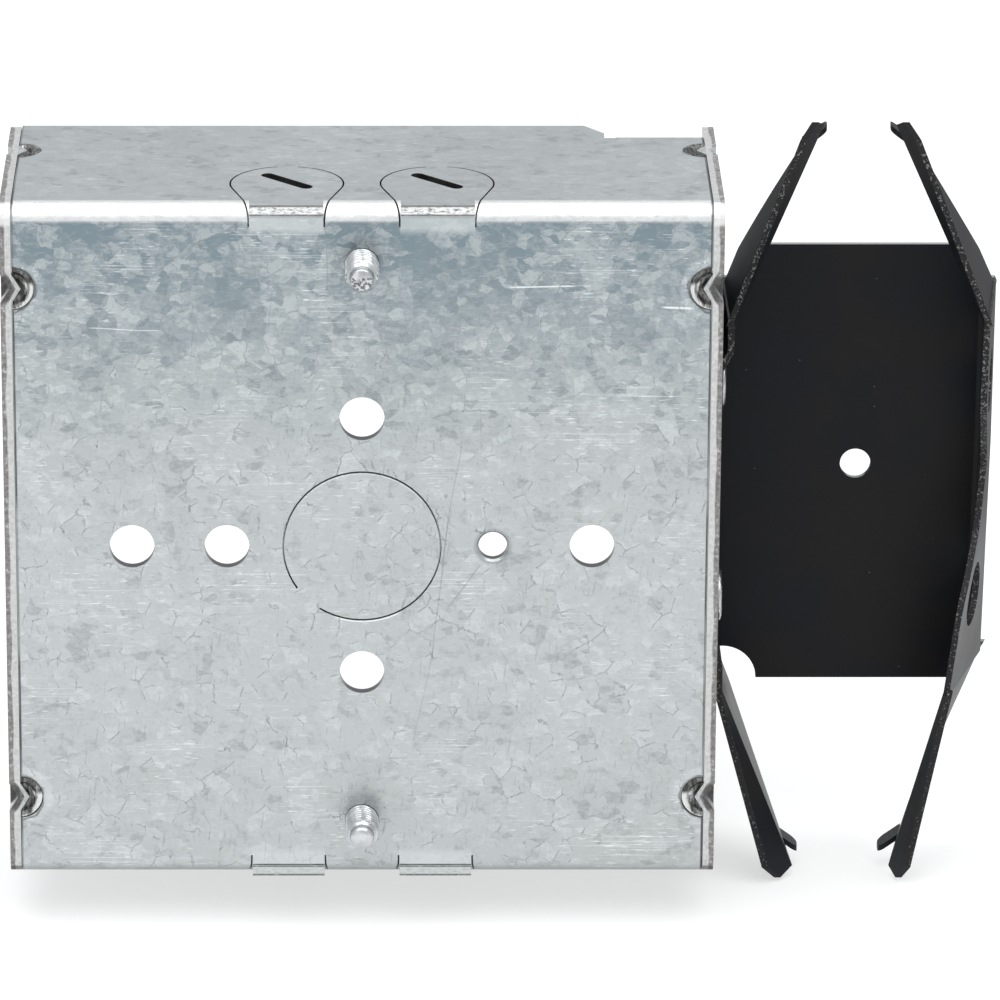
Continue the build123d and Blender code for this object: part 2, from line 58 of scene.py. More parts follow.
class Signal:
    """One socket of a shader, used in sums and products as a number would be."""

    def __init__(self, bench: "ShaderBench", socket: bpy.types.NodeSocket) -> None:
        """Keep the socket and the bench whose tree it belongs to."""
        self.bench = bench
        self.socket = socket

    def __add__(self, other: "Signal | float") -> "Signal":
        """Sum."""
        return self.bench.calculate("ADD", self, other)

    __radd__ = __add__

    def __sub__(self, other: "Signal | float") -> "Signal":
        """Difference."""
        return self.bench.calculate("SUBTRACT", self, other)

    def __rsub__(self, other: "Signal | float") -> "Signal":
        """Difference from a number."""
        return self.bench.calculate("SUBTRACT", other, self)

    def __mul__(self, other: "Signal | float") -> "Signal":
        """Product."""
        return self.bench.calculate("MULTIPLY", self, other)

    __rmul__ = __mul__

    def __abs__(self) -> "Signal":
        """Size without sign."""
        return self.bench.calculate("ABSOLUTE", self)

    def root(self) -> "Signal":
        """Square root."""
        return self.bench.calculate("SQRT", self)

    def sibling(self, output: str) -> "Signal":
        """Another output of the same node."""
        return Signal(self.bench, self.socket.node.outputs[output])

    def largest(self, other: "Signal | float") -> "Signal":
        """Larger of the two."""
        return self.bench.calculate("MAXIMUM", self, other)

    def rise(self, low: float, high: float) -> "Signal":
        """Smooth step from 0 at low to 1 at high, either way round.

        Args:
            low: value where the step is 0.
            high: value where it is 1.

        Returns:
            A signal from 0 to 1.
        """
        return self.bench.node(
            "ShaderNodeMapRange",
            {"interpolation_type": "SMOOTHSTEP"},
            {"Value": self, "From Min": low, "From Max": high},
        )

    def fall(self, low: float, high: float) -> "Signal":
        """Smooth step from 1 at low to 0 at high."""
        return self.rise(high, low)

    def near(self, centre: float, half: float, feather: float) -> "Signal":
        """Band round a value.

        Args:
            centre: middle of the band.
            half: half of the band's full strength.
            feather: width over which it fades out.

        Returns:
            A signal that is 1 in the band and 0 away from it.
        """
        return abs(self - centre).fall(half, half + feather)


@dataclass
class Place:
    """Coordinates and facing of a surface point, in the object's own space."""

    point: Signal
    x: Signal
    y: Signal
    z: Signal
    facing_x: Signal
    facing_y: Signal
    facing_z: Signal


class ShaderBench:
    """Node tree of one material or world, with one method that adds any node."""

    def __init__(self, owner: "bpy.types.Material | bpy.types.World") -> None:
        """Empty the node tree that is built here.

        Args:
            owner: the new material or world that has it.
        """
        self.owner = owner
        owner.use_nodes = True
        self.tree = owner.node_tree
        self.tree.nodes.clear()

    def node(
        self,
        kind: str,
        settings: dict[str, object] | None = None,
        inputs: dict[str | int, object] | None = None,
        output: str | int = 0,
    ) -> Signal:
        """Add a node.

        Args:
            kind: the node's type.
            settings: its properties, set before its sockets.
            inputs: values or signals of its sockets.
            output: the socket to return.

        Returns:
            The chosen output.
        """
        made = self.tree.nodes.new(kind)
        for key, value in (settings or {}).items():
            setattr(made, key, value)
        for key, value in (inputs or {}).items():
            self.feed(made.inputs[key], value)
        return Signal(self, made.outputs[output])

    def feed(self, socket: bpy.types.NodeSocket, value: object) -> None:
        """Give a socket its value or link.

        Args:
            socket: the input socket.
            value: a signal, a number, or a tuple for a colour or vector.
        """
        if isinstance(value, Signal):
            self.tree.links.new(value.socket, socket)
        elif isinstance(value, tuple) and socket.type == "RGBA":
            socket.default_value = (*value, 1.0)
        elif isinstance(value, float) and socket.type == "VECTOR":
            socket.default_value = (value, value, value)
        else:
            socket.default_value = value

    def calculate(self, operation: str, *operands: "Signal | float") -> Signal:
        """Math node, or Vector Math where an operand is a vector.

        Args:
            operation: the node's operation.
            operands: its one or two operands.

        Returns:
            The result.
        """
        vector = any(isinstance(item, Signal) and item.socket.type == "VECTOR" for item in operands)
        kind = "ShaderNodeVectorMath" if vector else "ShaderNodeMath"
        return self.node(kind, {"operation": operation}, dict(enumerate(operands)))

    def place(self) -> Place:
        """Object coordinates and normal of the shaded point.

        Returns:
            The surface point.
        """
        point = self.node("ShaderNodeTexCoord", output="Object")
        x = self.node("ShaderNodeSeparateXYZ", None, {0: point}, "X")
        facing = self.node("ShaderNodeSeparateXYZ", None, {0: point.sibling("Normal")}, "X")
        return Place(
            point=point,
            x=x,
            y=x.sibling("Y"),
            z=x.sibling("Z"),
            facing_x=facing,
            facing_y=facing.sibling("Y"),
            facing_z=facing.sibling("Z"),
        )

    def along(self, point: Signal, direction: Vector) -> Signal:
        """How far a point lies along a direction."""
        operands = {0: point, 1: tuple(direction)}
        return self.node("ShaderNodeVectorMath", {"operation": "DOT_PRODUCT"}, operands, "Value")

    def stretch(
        self, point: Signal, scale: tuple[float, float, float], turn: float = 0.0
    ) -> Signal:
        """Turn a point about Z and scale it.

        Args:
            point: coordinates in metres.
            scale: cycles per metre along each axis.
            turn: angle about Z in degrees.

        Returns:
            The new coordinates.
        """
        if turn:
            point = self.node(
                "ShaderNodeVectorRotate",
                {"rotation_type": "Z_AXIS"},
                {"Vector": point, "Angle": math.radians(turn)},
            )
        return self.node("ShaderNodeVectorMath", {"operation": "MULTIPLY"}, {0: point, 1: scale})

    def noise(
        self,
        point: Signal,
        scale: float,
        detail: float = 2.0,
        roughness: float = 0.5,
        space: str = "3D",
        output: str | int = 0,
    ) -> Signal:
        """Cloudy noise from 0 to 1.

        Args:
            point: coordinates.
            scale: cycles per unit.
            detail: number of finer layers.
            roughness: weight of the finer layers.
            space: "3D", or "2D" for flat coordinates.
            output: the socket to return.

        Returns:
            The noise.
        """
        return self.node(
            "ShaderNodeTexNoise",
            {"noise_dimensions": space},
            {"Vector": point, "Scale": scale, "Detail": detail, "Roughness": roughness},
            output,
        )

    def flat_noise(self, point: Signal, scale: float = 1.0, detail: float = 1.0) -> Signal:
        """Noise over flat coordinates."""
        return self.noise(point, scale, detail, space="2D")

    def cells(
        self,
        point: Signal,
        scale: float,
        output: str = "Color",
        feature: str = "F1",
        space: str = "3D",
    ) -> Signal:
        """Crystal cells.

        Args:
            point: coordinates.
            scale: cells per unit.
            output: "Color" for a value of each cell, or "Distance".
            feature: which distance is measured.
            space: "3D", or "2D" for flat coordinates.

        Returns:
            The chosen output.
        """
        return self.node(
            "ShaderNodeTexVoronoi",
            {"voronoi_dimensions": space, "feature": feature},
            {"Vector": point, "Scale": scale},
            output,
        )

    def channel(self, colour: Signal, name: str) -> Signal:
        """One channel, Red, Green or Blue, of a colour."""
        return self.node("ShaderNodeSeparateColor", None, {0: colour}, name)

    def blend(self, factor: Signal, first: Signal | Colour, second: Signal | Colour) -> Signal:
        """Colour between two colours.

        Args:
            factor: 0 for the first colour, 1 for the second.
            first: first colour.
            second: second colour.

        Returns:
            The mixed colour.
        """
        inputs = {MIX_FACTOR: factor, MIX_FIRST: first, MIX_SECOND: second}
        return self.node("ShaderNodeMix", {"data_type": "RGBA"}, inputs, MIX_RESULT)

    def tint(self, colour: Signal | Colour, strength: Signal) -> Signal:
        """Colour made lighter or darker by a factor."""
        inputs = {0: colour, "Scale": strength}
        return self.node("ShaderNodeVectorMath", {"operation": "SCALE"}, inputs)

    def specks(self, place: Place, density: float, size: float, share: float) -> Signal:
        """Scattered round specks.

        Args:
            place: the surface point.
            density: cells per metre, one speck at most in each.
            size: speck radius as a share of a cell.
            share: part of the cells that have a speck.

        Returns:
            A signal that is 1 on a speck.
        """
        cell = self.cells(place.point, density, "Distance")
        near = cell.fall(size * 0.6, size)
        chance = self.channel(cell.sibling("Color"), "Red")
        return near * chance.rise(1.0 - share, 1.0 - share + 0.02)

    def close(self, kind: str, surface: Signal) -> None:
        """Link a shader to a new output node of that kind."""
        self.tree.links.new(surface.socket, self.tree.nodes.new(kind).inputs["Surface"])

    def finish(
        self, inputs: dict[str, object], height: Signal | None = None, depth: float = 0.0
    ) -> bpy.types.Material:
        """Close the tree with a Principled shader.

        Args:
            inputs: its sockets' values or signals.
            height: relief from 0 to 1, where the surface has any.
            depth: height of the relief in metres.

        Returns:
            The finished material.
        """
        if height is not None:
            relief = {"Distance": depth, "Height": height}
            inputs = {**inputs, "Normal": self.node("ShaderNodeBump", None, relief)}
        shader = self.node("ShaderNodeBsdfPrincipled", None, inputs)
        self.close("ShaderNodeOutputMaterial", shader)
        return self.owner


class SheetPart(Enum):
    """Which galvanised sheet a finish is for."""

    WRAP = "folded_sheet"
    PLATE = "side_plate"


@dataclass
class SharedNoise:
    """Flat coordinates of one sheet and the noises that several of its marks use.

    Attributes:
        flat: the sheet laid out flat, in metres.
        warped: the same, shifted a little so that crystals get ragged borders.
        patches: patches about as large as a fingertip.
        clouds: large soft clouds.
        wobble: how far a scratch wanders from its line, in metres.
        grain: fine grain.
        chip: one value for each small crystal.
    """

    flat: Signal
    warped: Signal
    patches: Signal
    clouds: Signal
    wobble: Signal
    grain: Signal
    chip: Signal


@dataclass(frozen=True)
class Scratch:
    """Straight scratch on the back, its ends given as X and Z, all in millimetres."""

    start: tuple[float, float]
    end: tuple[float, float]
    half_width: float
    strength: float
    dark: bool


SCRATCHES = (
    Scratch((-5.3, 49.0), (-5.1, 38.8), 0.12, 0.8, dark=True),
    Scratch((13.9, 15.4), (10.1, -16.5), 0.13, 0.7, dark=True),
    Scratch((10.1, -16.5), (7.4, -29.5), 0.11, 0.6, dark=True),
    Scratch((16.6, -3.4), (12.6, -9.0), 0.13, 0.8, dark=True),
    Scratch((43.0, 36.0), (45.4, 35.9), 0.22, 0.9, dark=False),
    Scratch((-37.6, 32.5), (-29.2, 32.4), 0.10, 0.6, dark=False),
    Scratch((21.4, 38.9), (29.0, 39.0), 0.16, 0.8, dark=False),
)


@dataclass(frozen=True)
class GalvanisedSheet:
    """Hot-dip galvanised sheet: crystal patches, rolling streaks, scratches, cut edges, and painted
    shade and highlights.
    """

    part: SheetPart
    zinc: Colour = (0.495, 0.520, 0.524)
    pale: Colour = (0.640, 0.680, 0.680)
    deep: Colour = (0.255, 0.272, 0.278)
    # Blue-grey of the painted shade on the upper back.
    upper_shade_colour: Colour = (0.198, 0.256, 0.286)
    # Near-white for painted highlights on the upper bend and the plate edges' tops, and for bright
    # specks on the pry-outs.
    highlight_and_bright_zinc: Colour = (0.900, 0.895, 0.885)
    streak: Colour = (0.860, 0.890, 0.890)
    # Near-black for painted shade in creases, holes, slots, gaps and at the plate edges' lower
    # ends, and for grime on the pry-outs' ends and the plate edges' dents.
    shade_and_grime: Colour = (0.075, 0.072, 0.070)
    sheared: Colour = (0.600, 0.605, 0.600)
    fracture: Colour = (0.300, 0.285, 0.278)
    metallic: float = 0.85
    crystal_cells: float = 290.0
    chip_cells: tuple[float, float] = (620.0, 900.0)
    chip_turn: float = 14.0
    cloud_scale: float = 30.0
    patch_scale: float = 75.0
    dent_scale: float = 420.0
    warp_scale: float = 560.0
    pit_scale: float = 2300.0
    grit_scale: float = 1500.0
    grain_scale: tuple[float, float] = (900.0, 1500.0)
    warp: float = 1.8 * MM
    relief: float = 0.12 * MM
    half: float = 50.8 * MM
    gauge: float = 1.6 * MM
    stake_x: float = 49.1 * MM
    stake_z: float = 38.5 * MM
    stake_y: float = 26.0 * MM
    stake_radius: float = 3.0 * MM
    knockout_radius: float = 11.2 * MM
    tip_z: float = 42.1 * MM
    tip_rim: float = 3.1 * MM
    ground_x: float = 18.6 * MM
    ground_rim: float = 2.35 * MM
    pry_x: float = 10.6 * MM
    pry_half: float = 5.15 * MM
    pry_end_z: float = 49.25 * MM
    pry_slot_y: float = 11.4 * MM
    pry_slot_half: float = 5.5 * MM

    def crystals(self, bench: ShaderBench, shared: SharedNoise) -> Signal:
        """Tone of the zinc's crystal patches.

        Args:
            bench: the material's bench.
            shared: the noises that all marks use.

        Returns:
            A tone from about -1 to 1.
        """
        patch = bench.channel(bench.cells(shared.warped, self.crystal_cells, space="2D"), "Red")
        pale = patch.rise(0.62, 0.70) * 0.30 + shared.chip.rise(0.70, 0.76) * 0.46
        dark = patch.fall(0.26, 0.32) * 0.28 + shared.chip.fall(0.16, 0.20) * 0.46
        return pale - dark + (shared.grain - 0.5) * 1.7

    def borders(self, bench: ShaderBench, shared: SharedNoise) -> Signal:
        """Thin dark lines on some of the crystals' borders.

        Args:
            bench: the material's bench.
            shared: the noises that all marks use.

        Returns:
            A signal that is 1 on a line.
        """
        scale, feature = self.crystal_cells, "DISTANCE_TO_EDGE"
        line = bench.cells(shared.warped, scale, "Distance", feature, "2D").fall(0.015, 0.045)
        return line * shared.chip.rise(0.70, 0.74) * shared.patches.near(0.50, 0.12, 0.05)

    def lines(
        self,
        bench: ShaderBench,
        shared: SharedNoise,
        cycles: tuple[float, float],
        turn: float = 0.0,
    ) -> Signal:
        """Noise drawn out into lines over the flat sheet.

        Args:
            bench: the material's bench.
            shared: the noises that all marks use.
            cycles: cycles per metre along the flat sheet's X and Y.
            turn: angle in degrees.

        Returns:
            The noise from 0 to 1.
        """
        return bench.flat_noise(bench.stretch(shared.flat, (*cycles, 1.0), turn))

    def streaks(self, bench: ShaderBench, shared: SharedNoise) -> Signal:
        """Short pale dashes and long fine lines along the rolling direction.

        Args:
            bench: the material's bench.
            shared: the noises that all marks use.

        Returns:
            A signal that is 1 on a dash.
        """
        dashes = self.lines(bench, shared, (430.0, 3300.0)).rise(0.66, 0.74)
        fine = self.lines(bench, shared, (42.0, 4700.0), 0.4).rise(0.64, 0.74)
        patches = shared.patches.rise(0.46, 0.66)
        return dashes * (patches * 0.30 + 0.20) + fine * (patches * 0.38 + 0.04)

    def hairlines(self, bench: ShaderBench, shared: SharedNoise) -> Signal:
        """Thin dark lines at steep angles.

        Args:
            bench: the material's bench.
            shared: the noises that all marks use.

        Returns:
            A signal that is 1 on a line.
        """
        steep = self.lines(bench, shared, (2600.0, 330.0), -24.0).rise(0.70, 0.77)
        upright = self.lines(bench, shared, (2900.0, 200.0), 7.0).rise(0.69, 0.76)
        return (steep + upright) * shared.patches.fall(0.42, 0.58) * 0.7

    def scratch(
        self, bench: ShaderBench, place: Place, shared: SharedNoise, mark: Scratch
    ) -> Signal:
        """One straight scratch.

        Args:
            bench: the material's bench.
            place: the surface point.
            shared: the noises that all marks use.
            mark: the scratch.

        Returns:
            A signal that has the scratch's strength on it and is 0 elsewhere.
        """
        head, tail = (Vector((x, 0.0, z)) * MM for x, z in (mark.start, mark.end))
        width = mark.half_width * MM
        middle = (head + tail) / 2
        length = (tail - head).length
        ahead = (tail - head).normalized()
        aside = Vector((ahead.z, 0.0, -ahead.x))
        along = bench.along(place.point, ahead)
        across = bench.along(place.point, aside) + shared.wobble
        line = abs(across - middle.dot(aside)).fall(width * 0.5, width)
        return line * along.near(middle.dot(ahead), length / 2, 1.5 * MM) * mark.strength

    def on_back(self, place: Place) -> Signal:
        """1 on the back's outer face."""
        return place.facing_y.fall(-0.9, -0.7) * place.y.fall(0.4 * MM, 0.8 * MM)

    def from_middle(self, place: Place) -> Signal:
        """Distance from the back's middle, in metres."""
        return (place.x * place.x + place.z * place.z).root()

    def stake_marks(self, place: Place, rough: Signal) -> tuple[Signal, Signal]:
        """Painted shade in the creases round the stakes, and bright bruises round them.

        Args:
            place: the surface point.
            rough: wander of the marks' outline in metres.

        Returns:
            The shade in the creases and the bruise, each 1 where it is strongest.
        """
        side = abs(place.x) - self.stake_x
        level = abs(place.z) - self.stake_z
        reach = place.y - self.stake_y
        on_back = self.on_back(place)
        on_wall = abs(place.z).rise(self.half - 0.4 * MM, self.half - 0.1 * MM)
        back = (side * side + level * level).root() + rough
        wall = (side * side + reach * reach).root() + rough
        # Painted shade in the creases round each stake, in the back and in the wall.
        crease_shade = back.near(self.stake_radius + 0.25 * MM, 0.05 * MM, 0.22 * MM) * on_back
        wall_crease_shade = wall.near(self.stake_radius + 0.15 * MM, 0.05 * MM, 0.2 * MM) * on_wall
        bruise = back.near(self.stake_radius + 1.0 * MM, 0.2 * MM, 0.8 * MM) * on_back
        return crease_shade.largest(wall_crease_shade * 0.7), bruise

    def plate_edge(self, bench: ShaderBench, place: Place) -> tuple[Signal, Signal, Signal]:
        """Where a side plate's cut edge lies, with its torn outer half and its crushed dents.

        Args:
            bench: the material's bench.
            place: the surface point.

        Returns:
            The cut edge, the torn half and the dents, each 1 where it is.
        """
        cut = abs(place.facing_x).fall(0.35, 0.6)
        ripple = bench.noise(bench.stretch(place.point, (500.0, 120.0, 120.0)), 1.0, 2.0)
        wander = (ripple - 0.5) * (0.9 * MM)
        near_stake = (2.6 * MM - abs(abs(place.z) - self.stake_z)).largest(0.0)
        dent = near_stake * place.y.fall(3.0 * MM, 4.0 * MM)
        outward = abs(place.x) + dent * 0.50 - (self.half - self.gauge)
        torn = (outward + wander).rise(0.80 * MM, 1.0 * MM)
        crushed = dent.rise(0.2 * MM, 1.0 * MM) * outward.rise(0.62 * MM, 0.80 * MM)
        return cut, torn, crushed

    def edge_colour(
        self, bench: ShaderBench, place: Place, grit: Signal, torn: Signal, crushed: Signal
    ) -> Signal:
        """Colour of a side plate's cut edge, with a painted highlight at its top and painted shade
        at its lower end.

        Args:
            bench: the material's bench.
            place: the surface point.
            grit: fine noise.
            torn: 1 on the torn outer half.
            crushed: 1 in the dents.

        Returns:
            The colour.
        """
        bright = bench.tint(self.sheared, (grit - 0.5) * 0.9 + 1.0)
        rough = bench.tint(self.fracture, (grit - 0.5) * 2.0 + 1.0)
        edge = bench.blend(torn, bright, rough)
        edge = bench.blend(grit.rise(0.56, 0.66) * torn * 0.8, edge, self.sheared)
        edge = bench.blend(crushed * 0.85, edge, bench.tint(self.shade_and_grime, grit * 2.4))
        # Painted highlight on the rounded top corner of the plate's edge.
        rolled_highlight = place.z.rise(47.4 * MM, 48.2 * MM) * place.facing_y.fall(-0.5, -0.2)
        edge = bench.blend(rolled_highlight * 0.8, edge, self.highlight_and_bright_zinc)
        rim = abs(abs(place.x) - (self.half - self.gauge / 2)).rise(0.70 * MM, 0.80 * MM)
        edge = bench.blend(rim * (grit.rise(0.40, 0.60) * 0.6), edge, self.deep)
        # Painted shade on the lowest end of the plate's edge.
        lower_end_shade = place.z.fall(-49.6 * MM, -49.2 * MM)
        return bench.blend(lower_end_shade * 0.75, edge, self.shade_and_grime)

    def noises(self, bench: ShaderBench, place: Place) -> SharedNoise:
        """Noises that several marks use.

        Args:
            bench: the material's bench.
            place: the surface point.

        Returns:
            The noises.
        """
        across, along = place.y, place.z
        if self.part is SheetPart.WRAP:
            across = place.x
            along = place.z + bench.calculate("SIGN", place.z) * place.y
        flat = bench.node("ShaderNodeCombineXYZ", None, {"X": across, "Y": along})
        wander = bench.noise(flat, self.warp_scale, 3.0, 0.6, "2D", "Color")
        warped = flat + (wander - 0.5) * self.warp
        clouds = bench.flat_noise(flat, self.cloud_scale, 2.0)
        chips = bench.stretch(warped, (*self.chip_cells, 1.0), self.chip_turn)
        grains = bench.stretch(flat, (*self.grain_scale, 1.0))
        return SharedNoise(
            flat=flat,
            warped=warped,
            patches=bench.flat_noise(flat, self.patch_scale),
            clouds=clouds,
            wobble=(clouds - 0.5) * (2.5 * MM),
            grain=bench.noise(grains, 1.0, 3.0, 0.75, "2D"),
            chip=bench.channel(bench.cells(chips, 1.0, space="2D"), "Red"),
        )

    def shaded_cut_walls(self, place: Place) -> Signal:
        """Painted shade on the walls of the holes, slots and notches.

        Args:
            place: the surface point.

        Returns:
            A signal that is about 1 on a wall.
        """
        walls = abs(place.facing_y).fall(0.35, 0.65) * place.y.fall(1.35 * MM, 1.5 * MM)
        walls = walls * abs(place.z).fall(47.0 * MM, 47.6 * MM)
        ring = self.from_middle(place).near(self.knockout_radius, 0.3 * MM, 0.1 * MM)
        faint = (place.x * -0.8 - place.z * 0.3).fall(4.0 * MM, 9.0 * MM)
        walls = walls * (1.0 - ring * faint * 0.8)
        slot = abs(place.z).near(self.half - self.gauge / 2, 0.7 * MM, 0.09 * MM)
        slot = slot * abs(place.facing_z).fall(0.2, 0.5) * abs(place.x).fall(30.0 * MM, 40.0 * MM)
        slot = slot * place.y.near(self.pry_slot_y, self.pry_slot_half, 1.0 * MM)
        return (walls * 0.92).largest(slot)

    def gap_shade(self, place: Place, shared: SharedNoise) -> Signal:
        """Painted shade line where the folded sheet meets a side plate."""
        line = abs(place.x).rise(48.78 * MM, 48.96 * MM) * abs(place.facing_x).fall(0.3, 0.5)
        return line * (shared.patches.rise(0.30, 0.60) * 0.5 + 0.45)

    def pry_ends(self, bench: ShaderBench, place: Place, colour: Signal, pits: Signal) -> Signal:
        """Bright speckled end of each pry-out between two dark lines, and the pale sheet beside it.

        Args:
            bench: the material's bench.
            place: the surface point.
            colour: colour so far.
            pits: tiny pits.

        Returns:
            The new colour.
        """
        level = abs(place.z)
        beside = abs(abs(place.x) - self.pry_x)
        inside = beside.fall(self.pry_half, self.pry_half + 0.2 * MM) * self.on_back(place)
        grit = bench.noise(bench.stretch(place.point, (1100.0, 1100.0, 3200.0)), 1.0, 3.0, 0.7)
        below = level.near(self.pry_end_z - 0.95 * MM, 0.7 * MM, 1.4 * MM)
        colour = bench.blend(inside * below * 0.55, colour, self.pale)
        end_face = level.rise(self.pry_end_z, self.pry_end_z + 0.25 * MM)
        upper = place.z.rise(0.0, 1.0 * MM)
        bright = bench.blend(grit.rise(0.42, 0.54) * (upper * 0.8 + 0.2), self.zinc, self.highlight_and_bright_zinc)
        bright = bench.blend(grit.fall(0.34, 0.42) * (upper * 0.7 + 0.1), bright, self.shade_and_grime)
        colour = bench.blend(inside * end_face, colour, bright)
        lower_line = level.near(self.pry_end_z + 0.1 * MM, 0.05 * MM, 0.12 * MM)
        lines = lower_line.largest(level.rise(50.45 * MM, 50.6 * MM))
        strength = grit.rise(0.34, 0.50) * 0.6 + 0.2 + pits * 0.2
        return bench.blend(inside * lines * strength, colour, self.shade_and_grime)

    def made_marks(
        self, bench: ShaderBench, place: Place, shared: SharedNoise, pits: Signal
    ) -> tuple[Signal, Signal]:
        """Marks that have a place of their own on the back.

        Args:
            bench: the material's bench.
            place: the surface point.
            shared: the noises that all marks use.
            pits: tiny pits.

        Returns:
            The pale marks, with the painted highlights on the knockout ring's lips, and the dark
            marks, with painted shade round the ring and painted shadow round the screw tips.
        """
        radius = self.from_middle(place)
        # Painted shade just outside the knockout ring, on its upper right.
        ring_shade = radius.near(self.knockout_radius + 0.9 * MM, 0.3 * MM, 1.3 * MM)
        upper_right = (place.x * 0.7 + place.z).rise(-2.0 * MM, 9.0 * MM)
        # Painted highlights on the ring's outer lip at the bottom and inner lip at the top.
        outer_lip_highlight = radius.near(self.knockout_radius + 0.22 * MM, 0.05 * MM, 0.14 * MM)
        lower = place.z.fall(-10.4 * MM, -8.6 * MM) * place.x.near(0.8 * MM, 3.6 * MM, 2.0 * MM)
        inner_lip_highlight = radius.near(self.knockout_radius - 0.24 * MM, 0.05 * MM, 0.12 * MM)
        upper = place.z.rise(5.0 * MM, 9.0 * MM)
        ground = place.x - self.ground_x
        hole = (ground * ground + place.z * place.z).root()
        hole = hole.near(self.ground_rim, 0.15 * MM, 0.5 * MM)
        # Painted contact shadow round the base of each clamp screw's tip.
        tip = abs(place.z) - self.tip_z
        marked = (place.x * place.x + tip * tip).root().near(self.tip_rim, 0.4 * MM, 1.0 * MM)
        dark = ring_shade * upper_right * 0.30 + hole * 0.8 + marked * (pits + 0.25)
        pale = outer_lip_highlight * lower * 0.9 + inner_lip_highlight * upper * 0.45
        for mark in SCRATCHES:
            drawn = self.scratch(bench, place, shared, mark)
            if mark.dark:
                dark = dark + drawn
            else:
                pale = pale + drawn
        on_back = self.on_back(place)
        return pale * on_back, dark * on_back

    def base_colour(self, bench: ShaderBench, shared: SharedNoise, tone: Signal) -> Signal:
        """Zinc with its pale and dark crystals.

        Args:
            bench: the material's bench.
            shared: the noises that all marks use.
            tone: the crystals' tone.

        Returns:
            The colour.
        """
        colour = bench.blend(tone.rise(0.0, 0.9) * 0.8, self.zinc, self.pale)
        colour = bench.blend((tone * -1.0).rise(0.0, 0.9) * 0.8, colour, self.deep)
        return bench.tint(colour, shared.clouds * 0.16 + 0.92)

    def shaded_upper_back(self, place: Place) -> Signal:
        """Upper part of the back, which gets a painted blue-grey shade and more strongly
        crystallised zinc.
        """
        return place.z.rise(4.0 * MM, 60.0 * MM) * self.on_back(place)

    def folded_colour(
        self,
        bench: ShaderBench,
        place: Place,
        shared: SharedNoise,
        colour: Signal,
        tone: Signal,
        marked: Signal,
    ) -> Signal:
        """Painted blue-grey shade on the upper back, painted highlight on the upper bend and
        painted shade on the underside of the folded sheet.

        Args:
            bench: the material's bench.
            place: the surface point.
            shared: the noises that all marks use.
            colour: colour so far.
            tone: the crystals' tone.
            marked: 1 on the upper bend, where the highlight is painted.

        Returns:
            The new colour.
        """
        patchy = (tone * 0.42 + shared.patches * 0.55).rise(0.02, 0.62)
        # Painted blue-grey shade on the upper back, patchy with the crystals.
        upper_shade = self.shaded_upper_back(place) * (1.16 - patchy * 0.60)
        colour = bench.blend(upper_shade, colour, self.upper_shade_colour)
        # Painted highlight on the upper bend.
        colour = bench.blend(marked * (shared.grain * 0.5 + 0.60), colour, self.highlight_and_bright_zinc)
        # Painted shade on faces that look down near the back.
        under = place.facing_z.fall(-0.85, -0.30) * place.y.fall(3.0 * MM, 6.0 * MM)
        return bench.blend(under * 0.55, colour, self.deep)

    def bend_highlight(self, place: Place) -> Signal:
        """1 on the upper bend, where a highlight is painted."""
        folded = abs(place.facing_y * place.facing_z).rise(0.07, 0.22)
        return folded * abs(place.facing_x).fall(0.2, 0.4) * place.z.rise(0.0, 1.0 * MM)

    def material(self) -> bpy.types.Material:
        """Build the finish.

        Returns:
            The material of that sheet.
        """
        bench = ShaderBench(bpy.data.materials.new(f"galvanised_{self.part.value}"))
        place = bench.place()
        shared = self.noises(bench, place)
        folded = self.part is SheetPart.WRAP
        contrast = self.shaded_upper_back(place) * 0.70 + 0.58 if folded else 0.6
        tone = self.crystals(bench, shared) * contrast
        streak = self.streaks(bench, shared)
        hair = self.hairlines(bench, shared) + self.borders(bench, shared) * 0.9
        pits = bench.flat_noise(shared.flat, self.pit_scale).rise(0.70, 0.78)
        dents = bench.flat_noise(shared.flat, self.dent_scale, 2.0)
        colour = self.base_colour(bench, shared, tone)
        if folded:
            # Mask of the painted highlight on the upper bend.
            marked = self.bend_highlight(place)
            colour = self.folded_colour(bench, place, shared, colour, tone, marked)
            pale, dark = self.made_marks(bench, place, shared, pits)
            crease_shade, bruise = self.stake_marks(place, (dents - 0.5) * (1.3 * MM))
            hair = hair * (self.on_back(place) * 0.8 + 0.2) * (1.0 - marked) + dark
            # The pale marks include the painted highlights on the knockout ring's lips.
            streak = streak + pale + bruise * (pits + 0.25)
        colour = bench.blend(streak.rise(0.0, 1.0) * 0.85, colour, self.streak)
        colour = bench.blend((hair * 0.60 + pits * 0.40).rise(0.0, 1.0), colour, self.deep)
        if folded:
            colour = self.pry_ends(bench, place, colour, pits)
            # Painted shade in the stake creases, on the walls of holes, slots and notches, and
            # where the sheet meets the side plates.
            dark = (crease_shade * 0.6).largest(self.shaded_cut_walls(place)).largest(self.gap_shade(place, shared))
            colour = bench.blend(dark, colour, self.shade_and_grime)
        rough = tone * 0.05 + shared.clouds * 0.10 - streak * 0.10 + 0.32
        height = dents * 0.5 + pits * 0.12
        metallic: Signal | float = self.metallic
        if not folded:
            cut, torn, crushed = self.plate_edge(bench, place)
            grit = bench.noise(place.point, self.grit_scale, 3.0, 0.65)
            colour = bench.blend(cut, colour, self.edge_colour(bench, place, grit, torn, crushed))
            rough = rough + cut * (torn * 0.25 + 0.02)
            height = height + cut * (grit - 0.5) * (torn * 1.2 + 0.2)
            metallic = self.metallic - cut * 0.25
        inputs = {"Base Color": colour, "Metallic": metallic, "Roughness": rough}
        return bench.finish(inputs, height, self.relief)


